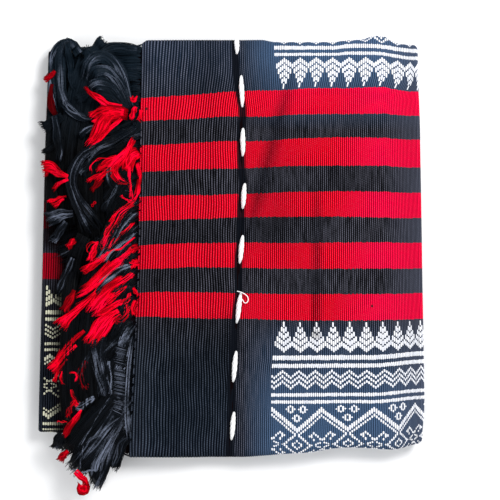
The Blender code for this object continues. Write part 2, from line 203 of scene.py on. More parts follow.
def fold_width(weft, depth):
    """Folds the stack in three across its width. Gives y and z."""
    reach = EDGE_RADIUS - depth
    run = NEAR_TURN_WEFT - FAR_TURN_WEFT
    arc = math.pi * EDGE_RADIUS
    along = weft - FAR_TURN_WEFT
    far = np.clip(-along / EDGE_RADIUS, 0, math.pi)
    near = np.clip((along - run) / EDGE_RADIUS, 0, math.pi)
    far_under = np.maximum(0.0, -along - arc)
    near_under = np.maximum(0.0, along - run - arc)
    flat_y = FAR_TURN_Y - along
    rise = THIRD_LIFT * ease((STEP_START_Y - flat_y) / (STEP_START_Y - STEP_END_Y))
    y = np.where(
        along < 0,
        FAR_TURN_Y + reach * np.sin(far) - far_under,
        np.where(along <= run, flat_y, NEAR_TURN_Y - reach * np.sin(near) + near_under),
    )
    z = np.where(
        along < 0,
        EDGE_RADIUS + reach * np.cos(far),
        np.where(
            along <= run,
            EDGE_RADIUS + reach + rise,
            THIRD_LIFT + EDGE_RADIUS + reach * np.cos(near),
        ),
    )
    return y, z


def crease_height(x, y):
    """The height of the soft creases at a place on the top."""
    near = ease((PACKET_FAR - y) / (PACKET_FAR - PACKET_NEAR))
    height = 0.0
    for x_far, x_near, width_far, width_near, height_far, height_near in CREASES:
        middle = x_far + (x_near - x_far) * near
        width = width_far + (width_near - width_far) * near
        height = height + (height_far + (height_near - height_far) * near) * bump(x, middle, width)
    return height


def draws(x, y):
    """How far a place is drawn in towards the middle at the near and the far edge."""
    into_corner = np.clip((CORNER_START_X - x) / (CORNER_START_X - CORNER_END_X), 0, 1)
    near = NEAR_RIGHT_DRAW * ease(x / 0.12) + NEAR_LEFT_DRAW * into_corner
    far = FAR_RIGHT_DRAW * ease((x - 0.145) / 0.045)
    return near * ease((-0.03 - y) / 0.18), far * ease((y - 0.12) / 0.08)


def small_folds(x, y):
    """The height of the small folds and of the pits at the ends of the tacks."""
    height = 0.0
    for x_from, y_from, x_to, y_to, half_width, tall in SMALL_FOLDS:
        run_x, run_y = x_to - x_from, y_to - y_from
        length = math.hypot(run_x, run_y)
        along = ((x - x_from) * run_x + (y - y_from) * run_y) / length**2
        across = ((x - x_from) * run_y - (y - y_from) * run_x) / length
        fade = ease((along + 0.08) / 0.2) * ease((1.08 - along) / 0.2)
        height = height + tall * fade * bump(across, 0.0, half_width)
    for weft, length, x_far, x_near in STITCHES:
        for share in (0.0, 1.0):
            pit_x = x_far + (x_near - x_far) * share
            pit_y = RED_MIDDLE_Y - weft - length * (share - 0.5)
            away = np.hypot((x - pit_x) * 1.5, y - pit_y)
            height = height - PIT_DEPTH * bump(away, 0.0, PIT_RADIUS)
    return height


def tack_line(y):
    """Where the row of tacks runs, in x."""
    places = [
        (RED_MIDDLE_Y - weft - length * side, x_far if side < 0 else x_near)
        for weft, length, x_far, x_near in reversed(STITCHES)
        for side in (0.5, -0.5)
    ]
    return np.interp(y, [place[0] for place in places], [place[1] for place in places])


def recess(x, y):
    """1 in the narrow hollow that the tacks have drawn, and 0 away from it."""
    return bump(x, tack_line(y) - 0.0020, 0.0036)


def settle(x, y, z):
    """The packet's hand-folded unevenness: its skewed edges, bowed stripes, creases and folds."""
    share_up = np.maximum(0.0, z) / TOP_HEIGHT
    height = crease_height(x, y) * share_up
    fine = small_folds(x, y) - RECESS_DEPTH * recess(x, y)
    height = height + fine * ease((share_up - 0.80) / 0.15)
    corner = ease((x - 0.160) / 0.033) * ease((-0.160 - y) / 0.050)
    ripple = RIPPLES[0] * bump(x, 0.077, 0.022) + RIPPLES[1] * bump(x, 0.160, 0.024)
    ripple = ripple * ease((-0.15 - y) / 0.05)
    notch = NOTCH * ease((-0.101 - x) / 0.014) * ease((x + 0.150) / 0.014)
    notch = notch * ease((-0.184 - y) / 0.024)
    hump = HUMP * ease((x - 0.129) / 0.027) * ease((0.173 - x) / 0.014)
    hump = hump * ease((0.014 - z) / 0.008) * ease((y - 0.18) / 0.02)
    tucked = TUCK * ease((-0.091 - x) / 0.012) * ease((y - 0.165) / 0.035)
    dip = DIP * ease((x - 0.030) / 0.015) * ease((0.125 - x) / 0.020)
    dip = dip * ease((y - 0.185) / 0.020)
    to_right = ease((x - PACKET_LEFT) / (PACKET_RIGHT - PACKET_LEFT))
    left_skew = LEFT_SKEW + LEFT_SLANT * y
    right_skew = RIGHT_SKEW + RIGHT_SLANT * y
    end_lean = END_LEAN * ease(-y / PACKET_FAR) * bump(x, END_LEAN_X, END_LEAN_WIDTH)
    near_draw, far_draw = draws(x, y)
    height = z + height
    pressed = FLOOR_GAP * np.exp(np.minimum(height / FLOOR_GAP - 1, 0))
    height = np.where(height < FLOOR_GAP, pressed, height)
    bow = sum(sag * bump(y, middle, width) for middle, width, sag in STRIPE_BOWS)
    moved_y = y + near_draw + far_draw + bow * ease((0.010 - x) / 0.105)
    return np.stack(
        [
            x + left_skew + (right_skew - left_skew) * to_right + end_lean - CORNER_IN_X * corner,
            moved_y + CORNER_IN_Y * corner + notch + hump - dip - tucked - ripple,
            height,
        ],
        axis=-1,
    )


# How far the stripes' edges stray towards the viewer, in millimetres, at places along the top
STRAY_X = [
    -0.089, -0.077, -0.062, -0.042, -0.022, -0.002, 0.020, 0.038, 0.058, 0.080, 0.118, 0.158, 0.185,
]
STRAYS = [
    (4.4, 4.3, 3.7, 4.3, 3.6, 3.0, 2.2, 2.0, 1.6, -0.5, -0.3, -1.8, 0.8),
    (-0.4, -0.5, -0.2, 1.6, 1.6, 2.2, 2.9, 2.7, 1.0, 0.1, 0.0, -0.3, 1.8),
    (1.8, 2.3, 1.9, 2.7, 2.7, 3.1, 3.6, 3.0, 1.2, 0.1, -0.7, 0.2, 2.0),
    (5.6, 5.3, 4.6, 3.7, 3.5, 3.8, 3.2, 2.1, 1.2, 0.8, 0.7, 1.0, 2.8),
    (5.5, 5.3, 4.0, 4.2, 4.3, 3.1, 2.8, 2.0, 1.1, 0.7, 0.2, 1.0, 2.0),
    (3.6, 3.4, 2.6, 1.6, 1.4, 0.3, 0.0, -0.6, -0.3, -0.8, -0.6, 0.6, 1.0),
    (3.4, 2.5, 1.8, 1.0, 1.0, 0.8, 0.3, 0.7, 0.9, 0.6, 0.2, 0.2, 0.8),
    (1.2, 0.9, 0.0, -1.4, -1.0, -1.0, -0.7, -0.2, 0.0, 0.0, 0.0, 0.0, 0.0),
    (1.0, 0.1, -0.5, -0.3, -0.8, -0.2, 0.0, 0.2, 0.7, 0.4, 0.6, 0.7, 0.1),
    (-1.0, -1.0, -1.0, -1.0, -1.0, -1.5, -1.6, -1.0, -0.2, 0.0, 0.0, 0.2, 0.8),
]


def stray(x, weft):
    """How far the weave strays at a place, from the table of the stripes' edges."""
    edges = np.array([-0.160] + [edge * MM for stripe in RED_STRIPES for edge in stripe] + [0.150])
    table = np.array([np.zeros(len(STRAY_X)), *STRAYS, np.zeros(len(STRAY_X))]) * MM
    x, weft = np.broadcast_arrays(np.asarray(x, float), np.asarray(weft, float))
    column = np.interp(x, STRAY_X, np.arange(len(STRAY_X)))
    row = np.interp(weft, edges, np.arange(len(edges)))
    left = np.minimum(column.astype(int), len(STRAY_X) - 2)
    upper = np.minimum(row.astype(int), len(edges) - 2)
    across, down = column - left, row - upper
    above = table[upper, left] * (1 - across) + table[upper, left + 1] * across
    below = table[upper + 1, left] * (1 - across) + table[upper + 1, left + 1] * across
    return above * (1 - down) + below * down


def woven_place(warp, weft):
    """Where across the packet a place of the weave lies. The warp yarns stray: they keep
    straight past the slanting near edge, and sag a little towards the fringed end."""
    x, _ = fold_length(warp, 0.0)
    y = RED_MIDDLE_Y - weft
    on_top = ease((SECOND_START + 0.02 - warp) / 0.02)
    right = NEAR_RIGHT_DRAW * ease(x / 0.12) * ease((-0.03 - y) / 0.18)
    right = right - 0.0045 * ease((x - 0.140) / 0.055) * ease((-0.03 - y) / 0.09)
    right = right * (1 - ease((weft - 0.30) / 0.25))
    under = UNDER_SHIFT * ease((warp - SECOND_START) / (LEFT_ARC_START - SECOND_START))
    under = under * (1 - ease((np.abs(weft) - 0.32) / 0.24))
    return weft + (right + stray(x, weft)) * on_top - under


# How far the ribs shift along the far and near bands of pattern, in millimetres, at places in x
FAR_SHIFT_X = [0.038, 0.052, 0.085, 0.117, 0.134, 0.150, 0.166, 0.178, 0.205]
FAR_SHIFTS = [0.0, 1.7, 2.4, 3.4, 3.9, 4.2, 5.0, 6.0, 0.0]
NEAR_SHIFT_X = [0.0, 0.03, 0.10, 0.135, 0.165, 0.19]
NEAR_SHIFTS = [0.0, -1.8, -2.0, 0.0, 2.8, 1.5]


def rib_wander(warp, weft):
    """How far the ribs lie off their straight lines: they wander a little, and fan out at
    the far corner of the fringed end."""
    free = ease(warp / 0.02) * ease((TOP_RUN - warp) / 0.05)
    loose = 0.35 + 0.65 * ease((0.12 - warp) / 0.04)
    sway = 0.00055 * np.sin(62 * weft + 25 * warp) + 0.00035 * np.sin(141 * weft - 70 * warp + 1.3)
    fan = 0.0075 * ease((-0.085 - weft) / 0.07) * np.clip(warp * (0.15 - warp) / 0.0056, 0, 1)
    near = np.interp(UPPER_END_X + warp, NEAR_SHIFT_X, NEAR_SHIFTS)
    far = np.interp(UPPER_END_X + warp, FAR_SHIFT_X, FAR_SHIFTS) * MM * ease((-0.112 - weft) / 0.02)
    return free * (loose * sway + fan + near * MM * ease((weft - 0.148) / 0.02)) + far


def cloth_point(warp, weft, face):
    """Where a point of the woven cloth lies in the folded packet."""
    warp = warp + rib_wander(warp, weft)
    x, depth = fold_length(warp, face)
    y, z = fold_width(woven_place(warp, weft), depth)
    return settle(x, y, z)


def rib_pitch(x):
    """The ribs lie further apart on the fringed side of the tacks, and seem to close up
    where the cloth begins to turn under."""
    return 0.00265 - 0.00057 * float(ease((x + 0.02) / 0.04)) - 0.00080 * float(
        ease((x - 0.148) / 0.038)
    ) * (x < 0.192)


def rib_edges(start, end, pitch_at):
    """The places of the ribs' edges along one stretch of the warp."""
    edges = [start]
    while edges[-1] < end:
        edges.append(edges[-1] + pitch_at(edges[-1]))
    return np.array(edges)


TOP_RIBS = rib_edges(0.0, SECOND_START + 0.010, lambda warp: rib_pitch(UPPER_END_X + warp))
UNDER_PITCH = 0.00235  # the ribs of the layers beneath
UNDER_RIBS = rib_edges(THIRD_START, THIRD_START + 0.092, lambda warp: UNDER_PITCH)
FIRST_PATTERN_RIB = int(np.searchsorted(TOP_RIBS, PATTERN_START))
RIB_HEIGHT = 0.00042
RIB_STEPS = 4
UNDER_COUNT_FROM = 400  # keeps the lower ribs' numbers apart from the top ones


def rib_columns(edges):
    """Each rib's columns: their warp places, rib coordinates and heights above the cloth."""
    share = np.arange(RIB_STEPS) / RIB_STEPS
    warp = (edges[:-1, None] + np.diff(edges)[:, None] * share).ravel()
    rib = (np.arange(len(edges) - 1)[:, None] + share).ravel()
    lift = RIB_HEIGHT * np.tile(np.sin(math.pi * share) ** 0.8, len(edges) - 1)
    return np.append(warp, edges[-1]), np.append(rib, len(edges) - 1.0), np.append(lift, 0.0)


def weft_rows(shift):
    """The rows across the cloth: close together round the edges' turns, and one on each
    side of every stripe. Gives the rows and the stripes' boundaries, in metres."""
    arc = math.pi * EDGE_RADIUS
    rows = list(np.arange(-0.580, -0.196, 0.020))
    rows += list(np.linspace(FAR_TURN_WEFT - arc, FAR_TURN_WEFT, 11) + shift)
    edges = [edge * MM for stripe in RED_STRIPES for edge in stripe]
    for low, high in zip(edges, edges[1:]):
        rows += list(np.linspace(low, high, 4)[:-1])
    rows.append(edges[-1])
    rows += list(np.arange(edges[-1] + 0.008, NEAR_TURN_WEFT + shift - 0.016, 0.008))
    rows += list(np.linspace(NEAR_TURN_WEFT - 0.013, NEAR_TURN_WEFT + arc + 0.003, 18) + shift)
    rows += list(np.arange(NEAR_TURN_WEFT + arc + 0.03, 0.570, 0.030)) + [0.580]
    rows += list(np.arange(FAR_TURN_WEFT + shift + 0.008, edges[0] - 0.004, 0.008))
    kept = []
    for row in sorted(rows):
        if kept and row - kept[-1] < 0.0012 and row not in edges:
            continue
        if kept and row - kept[-1] < 0.0012:
            kept.pop()
        kept.append(row)
    return np.array(kept)


def is_red(weft):
    """Whether a place across the cloth is in one of the red stripes."""
    middle = weft / MM
    return np.any([(middle > low) & (middle < high) for low, high in RED_STRIPES], axis=0)


class Patches:
    """Vertices and faces that are gathered from several grids and tubes into one mesh."""

    def __init__(self, values):
        self.points, self.count = [], 0
        self.faces = {4: [], 3: []}
        self.slots = {4: [], 3: []}
        self.values = {name: [] for name in values}

    def add(self, points, faces, slots, values):
        """Points of any shape, and faces whose corners are counted from the first of them."""
        corners = faces.shape[-1]
        faces = faces.reshape(-1, corners)
        self.faces[corners].append(faces + self.count)
        self.slots[corners].append(np.broadcast_to(slots, len(faces)).astype(np.int32))
        if points is None:
            return
        self.points.append(points.reshape(-1, 3))
        for name, store in self.values.items():
            store.append(np.broadcast_to(values.get(name, 0.0), points.shape[:-1]).ravel())

    def add_grid(self, points, slots, outward=True, **values):
        """A grid of points, indexed by column and row, with a material slot for each face."""
        columns, rows = points.shape[:2]
        index = np.arange(columns * rows).reshape(columns, rows)
        quads = np.stack([index[:-1, :-1], index[1:, :-1], index[1:, 1:], index[:-1, 1:]], axis=-1)
        if outward:
            quads = quads[..., ::-1]
        slots = np.broadcast_to(slots, (columns - 1, rows - 1)).ravel()
        self.add(points, quads, slots, values)
        self.count += columns * rows

    def add_tubes(self, rings, slot, **values):
        """Closed tubes, indexed by tube, step and side."""
        tubes, steps, sides = rings.shape[:3]
        index = np.arange(tubes * steps * sides).reshape(tubes, steps, sides)
        after = np.roll(index, -1, axis=2)
        quads = np.stack([index[:, :-1], after[:, :-1], after[:, 1:], index[:, 1:]], axis=-1)
        for corner in range(1, sides - 1):
            caps = [index[:, 0, [0, corner + 1, corner]], index[:, -1, [0, corner, corner + 1]]]
            self.add(None, np.concatenate(caps), slot, values)
        self.add(rings, quads, slot, values)
        self.count += tubes * steps * sides

    def build(self, name, looks):
        """The object made of all that was added."""
        points = np.concatenate(self.points)
        faces = [np.concatenate(part) for part in self.faces.values() if part]
        slots = [np.concatenate(part) for part in self.slots.values() if part]
        totals = np.concatenate([np.full(len(part), part.shape[1]) for part in faces])
        loops = np.concatenate([part.ravel() for part in faces])
        data = bpy.data.meshes.new(name)
        data.vertices.add(len(points))
        data.vertices.foreach_set("co", points.astype(np.float32).ravel())
        data.loops.add(len(loops))
        data.loops.foreach_set("vertex_index", loops.astype(np.int32))
        data.polygons.add(len(totals))
        starts = np.append(0, np.cumsum(totals)[:-1]).astype(np.int32)
        data.polygons.foreach_set("loop_start", starts)
        for look in looks:
            data.materials.append(look)
        data.polygons.foreach_set("material_index", np.concatenate(slots))
        data.polygons.foreach_set("use_smooth", np.ones(len(totals), bool))
        for value, store in self.values.items():
            held = data.attributes.new(value, "FLOAT", "POINT")
            held.data.foreach_set("value", np.concatenate(store).astype(np.float32))
        data.update(calc_edges=True)
        made = bpy.data.objects.new(name, data)
        bpy.context.scene.collection.objects.link(made)
        return made


def wander(seed, size, at):
    """Smooth noise along one line, from -1 to 1, with features of the given size."""
    levels = np.random.default_rng(seed).uniform(-1, 1, 512)
    place = np.asarray(at) / size + 37.0
    low = np.floor(place).astype(int)
    share = ease(place - low)
    return levels[low % 512] * (1 - share) + levels[(low + 1) % 512] * share


def make_cloth(looks):
    """The whole cloth as one thin mesh with ribs where they show."""
    patches = Patches(("rib", "weft", "lower", "hollow"))

    def lay(warp, rib, lift, rows, face, lower, outward):
        shape = (len(warp), len(rows))
        whole = np.floor(rib)
        tooth = 0.00045 * np.random.default_rng(5).uniform(-1, 1, 4096)[whole.astype(int) % 4096]
        middles = (rows[:-1] + rows[1:]) / 2
        slots = np.broadcast_to(is_red(middles), (shape[0] - 1, shape[1] - 1))
        edge_rows = np.isin(rows, [edge * MM for stripe in RED_STRIPES for edge in stripe])
        weft = rows[None, :] + tooth[:, None] * edge_rows[None, :]
        weave = wander(11, 0.021, rows[None, :] + 0.013 * whole[:, None] / 7)
        uneven = lift[:, None] * (1 + 0.22 * weave)
        swayed = warp[:, None] + 0.00022 * weave * (lift[:, None] > 0)
        points = cloth_point(swayed, weft, face + uneven)
        x, _ = fold_length(warp[:, None] + rib_wander(warp[:, None], weft), 0.0)
        # how much painted shade the recess along the tacks takes, on the top layer only
        hollow = recess(x, RED_MIDDLE_Y - weft) * (1 - lower)
        patches.add_grid(
            points, slots, outward, rib=rib[:, None], weft=weft / MM,
            lower=np.full(shape, lower), hollow=hollow,
        )

    half = CLOTH_THICKNESS / 2
    top_rows, under_rows = weft_rows(0.0), weft_rows(UNDER_SHIFT)
    warp, rib, lift = rib_columns(TOP_RIBS)
    lay(warp, rib, lift, top_rows, half, 0.0, True)
    fine_end = warp[-1]
    arc = np.linspace(LEFT_ARC_START, THIRD_START, 9)
    before = np.linspace(LEFT_ARC_START - 0.010, LEFT_ARC_START, 9)[:-1]
    hidden = np.linspace(fine_end, before[0], 22)
    lay(hidden, hidden / UNDER_PITCH, np.zeros(22), under_rows, half, 1.0, True)
    turn = np.concatenate([before, arc])
    lay(turn, turn / UNDER_PITCH, np.zeros(len(turn)), under_rows, half, 1.0, True)
    warp, rib, lift = rib_columns(UNDER_RIBS)
    lay(warp, rib + UNDER_COUNT_FROM, lift, under_rows, half, 1.0, True)
    rest = np.concatenate(
        [
            np.linspace(warp[-1], INNER_ARC_START, 16)[:-1],
            np.linspace(INNER_ARC_START, LAST_START, 7)[:-1],
            np.linspace(LAST_START, CLOTH_LENGTH - 0.012, 16)[:-1],
            np.linspace(CLOTH_LENGTH - 0.012, CLOTH_LENGTH, 9),
        ]
    )
    lay(rest, rest / UNDER_PITCH, np.zeros(len(rest)), under_rows, half, 1.0, True)

    back = np.concatenate(
        [
            np.linspace(0, TOP_RUN, 36)[:-1],
            np.linspace(TOP_RUN, SECOND_START, 7)[:-1],
            np.linspace(SECOND_START, LEFT_ARC_START, 20)[:-1],
            np.linspace(LEFT_ARC_START, THIRD_START, 6)[:-1],
            np.linspace(THIRD_START, INNER_ARC_START, 20)[:-1],
            np.linspace(INNER_ARC_START, LAST_START, 6)[:-1],
            np.linspace(LAST_START, CLOTH_LENGTH, 20),
        ]
    )
    lay(back, back / UNDER_PITCH, np.zeros(len(back)), top_rows, -half, 1.0, False)

    all_warp = np.concatenate([TOP_RIBS, hidden[1:], turn[1:], UNDER_RIBS[1:], rest[1:]])
    for weft, outward in ((-CLOTH_WIDTH / 2, False), (CLOTH_WIDTH / 2, True)):
        rim = cloth_point(all_warp[:, None], weft, np.array([half, -half])[None, :])
        number = all_warp[:, None] / UNDER_PITCH
        patches.add_grid(rim, 0, outward, rib=number, weft=weft / MM, lower=1.0)
    for warp_end, rows, outward in ((0.0, top_rows, True), (CLOTH_LENGTH, under_rows, False)):
        rim = cloth_point(warp_end, rows[None, :], np.array([-half, half])[:, None])
        slots = np.broadcast_to(is_red((rows[:-1] + rows[1:]) / 2), (1, len(rows) - 1))
        patches.add_grid(rim, slots, outward, rib=0.0, weft=rows[None, :] / MM, lower=0.0)
    return patches.build("woven_cloth", looks)


# Small dark spots and holes in the red stripes: x, y and radius
SPOTS = [(-0.086, 0.1395, 0.0019), (0.140, -0.058, 0.0015), (-0.070, 0.041, 0.0012)]

# Where the white yarn of the pattern is soiled: x, y and radius
STAINS = [(0.0845, -0.086, 0.0075), (0.139, -0.083, 0.0030), (0.044, -0.096, 0.0025)]

# Shade painted into the colour along the creases, as the photo has it: x where they would
# cross the middle, slant, half width, the middle and half length along y, and how dark
SHADES = [
    (0.012, 0.276, 0.0120, 0.090, 0.120, 0.95),
    (0.085, 0.0, 0.0085, -0.020, 0.115, 0.80),
    (0.046, 0.0, 0.0360, 0.040, 0.080, 0.34),
    (0.0815, 0.0, 0.0018, -0.065, 0.040, 0.60),
    (-0.004, 0.0, 0.0100, -0.115, 0.075, 0.85),
    (-0.022, 0.0, 0.0220, 0.0, 1.0, 0.30),
    (-0.058, 0.0, 0.0100, 0.0, 1.0, 0.20),
]

# The white pattern, charted: for each rib, its floats across the cloth in millimetres


def tree_floats(column):
    """Rows of small trees, each of four stacked chevrons and a single tip. The first is whole."""
    if column == 0:
        return []
    step = (column - TREE_PHASE + TREE_REPEAT // 2) % TREE_REPEAT - TREE_REPEAT // 2
    away = abs(step)
    floats = []
    for chevron in range(4):
        if away <= 4 - chevron:
            bottom = 146.7 - 6.3 * chevron - 1.55 * away
            floats.append((bottom - 5.3, bottom))
    if away == 0:
        floats.append((115.9, 121.4))
    return floats


def small_zigzag_floats(column):
    """Three zigzag lines, one under the other."""
    away = abs((column - TREE_PHASE + TREE_REPEAT // 2) % TREE_REPEAT - TREE_REPEAT // 2)
    return [(163.9 + 5.1 * line + 1.6 * away, 167.0 + 5.1 * line + 1.6 * away) for line in range(3)]


def big_zigzag_floats(column):
    """One thick and one thin zigzag line, which meet the diamonds in their valleys."""
    step = column % ZIGZAG_REPEAT
    away = min(step, ZIGZAG_REPEAT - step)
    top = 200.8 + 1.66 * away
    floats = [(top, top + 5.2)]
    if away < 12:
        floats.append((top + 6.7, top + 9.4))
    return floats


def flower_floats(column):
    """Three small flowers above each valley."""
    floats = []
    for middle, height in ((9, 203.1), (15, 203.2), (12, 211.6)):
        away = abs(column % ZIGZAG_REPEAT - middle)
        if away == 0:
            floats += [(height - 4.1, height - 1.7), (height + 1.6, height + 4.0)]
        elif away == 1:
            floats.append((height - 3.2, height + 3.1))
        elif away == 2:
            floats.append((height - 1.0, height + 0.9))
    return floats


MIDDLE = 237.4  # the pattern band's own middle, about which it is mirrored
DIAMOND_ARMS = {
    1: (-11.8, -7.7), 2: (-9.2, -6.0), 3: (-7.4, -4.4), 4: (-5.6, -2.9), 5: (-3.7, -0.8),
}
SMALL_DIAMOND = {0: (-5.1, -2.6), 1: (-3.1, -1.1)}
HOOK_ARMS = {
    0: [(-6.6, -4.2)],
    1: [(-7.4, -4.4), (-3.3, -1.4)],
    2: [(-9.9, -7.2), (-2.6, -0.6)],
    3: [(-11.7, -9.0), (-1.7, 0.0)],
    4: [(-13.3, -10.4), (-6.9, -4.2)],
    5: [(-11.4, -6.8)],
    6: [(-10.2, -7.8)],
}


def medallion_floats(column):
    """Diamonds in the valleys, and paired hooks between them, mirrored about the middle."""
    step = column % ZIGZAG_REPEAT
    from_diamond = abs(step - ZIGZAG_REPEAT // 2)
    from_hook = min(step, ZIGZAG_REPEAT - step)
    half = [DIAMOND_ARMS[from_diamond]] if from_diamond in DIAMOND_ARMS else []
    half += [SMALL_DIAMOND[from_diamond]] if from_diamond in SMALL_DIAMOND else []
    half += HOOK_ARMS.get(from_hook, [])
    floats = [(MIDDLE + low, MIDDLE + high) for low, high in half]
    floats += [(MIDDLE - high, MIDDLE - low) for low, high in half]
    for away, reach in ((6, 1.8), (7, 0.8)):
        if from_diamond == away:
            floats.append((MIDDLE - reach, MIDDLE + reach))
    if from_diamond == 2:
        floats.append((MIDDLE - 2.0, MIDDLE + 1.6))
    return floats


def band_floats(column):
    """All the floats of one rib, from the stripes outwards and past the band's middle."""
    inner = tree_floats(column) + small_zigzag_floats(column)
    inner += [(149.2, 154.3), (157.6, 162.1), (187.0, 190.8), (194.1, 197.7)]
    inner += big_zigzag_floats(column) + flower_floats(column)
    outer = [(2 * MIDDLE - high, 2 * MIDDLE - low) for low, high in inner]
    return inner + medallion_floats(column) + outer


def far_place(weft):
    """The far band is the near one turned over, a little wider at its inner side."""
    return -(weft + 3.4 - 2.0 * float(ease((weft - 146) / 8)))


FLOAT_HEIGHT = 0.00038
FLOAT_FILL = 0.385


def lay_floats(patches, edges, columns, count_from, low, high, slot, seed):
    """The white floats on a stretch of ribs, between two places across the packet. Each
    float is a soft low ribbon with sunken ends."""
    draw = np.random.default_rng(seed)
    profile = np.array([-1.0, -0.55, 0.0, 0.55, 1.0])
    rise = np.array([-0.10, 0.75, 1.0, 0.75, -0.10])
    for number in columns:
        floats = band_floats(number - count_from)
        floats += [(far_place(end), far_place(start)) for start, end in floats]
        middle = (edges[number] + edges[number + 1]) / 2
        pitch = edges[number + 1] - edges[number]
        for start, end in floats:
            grow_start, grow_end, skew, fat = draw.uniform(-0.28, 0.28, 4)
            grow_start, grow_end = grow_start + 0.15, grow_end - 0.15
            start, end = (start + grow_start) * MM, (end + grow_end) * MM
            if end < low or start > high or end - start < 0.0005:
                continue
            steps = max(2, int(math.ceil((end - start) / 0.0022)))
            inside = np.linspace(start + 0.0004, end - 0.0004, steps)
            weft = np.concatenate([[start - 0.0002], inside, [end + 0.0002]])
            swell = np.concatenate([[0.25], np.ones(steps), [0.25]])
            tall = np.concatenate([[-0.35], np.ones(steps), [-0.35]])
            half = pitch * FLOAT_FILL * (1 + 0.25 * fat)
            warp = middle + half * profile[:, None] * swell[None, :]
            warp = warp + 0.0002 * skew * np.linspace(-1, 1, len(weft))[None, :]
            face = CLOTH_THICKNESS / 2 + RIB_HEIGHT * 0.8
            face = face + FLOAT_HEIGHT * (1 + 0.5 * fat) * rise[:, None] * tall[None, :]
            points = cloth_point(warp, weft[None, :], face)
            patches.add_grid(points, slot, True, tone=draw.uniform(0, 1), weft=weft[None, :] / MM)


def make_pattern(looks):
    """The white supplementary yarn of both bands, where it shows."""
    patches = Patches(("tone", "weft"))
    top = range(FIRST_PATTERN_RIB, len(TOP_RIBS) - 2)
    lay_floats(patches, TOP_RIBS, top, FIRST_PATTERN_RIB, -0.300, 0.276, 0, 21)
    under = range(1, 30)
    lay_floats(patches, UNDER_RIBS, under, 3 - 2 * ZIGZAG_REPEAT, -0.135, 0.318, 1, 22)
    return patches.build("white_pattern", looks)


# The fringe. Plan places are in millimetres to the right of and towards the viewer from the
# plan's far left corner, and a lock is laid on whatever lies there already.
PLAN_LEFT, PLAN_FAR = -0.232, 0.248
BLACK, RED = 0, 1
YARN_RADIUS = 0.00035
DENSITY, SPARSE = 4.2, 1.1
ROOTED_FROM = 127  # locks that begin to the right of this grow out of the cloth's end
ROOT_HEIGHT = 0.0246
PILE_LIMIT, LOCK_TALL = 0.0425, 0.0016
HALFWAY = 200  # the black locks that begin nearer than this are a piece of their own
FRINGE_PIECES = (
    "lower_fringe_yarns", "upper_fringe_yarns", "far_black_locks", "near_black_locks", "red_locks",
)
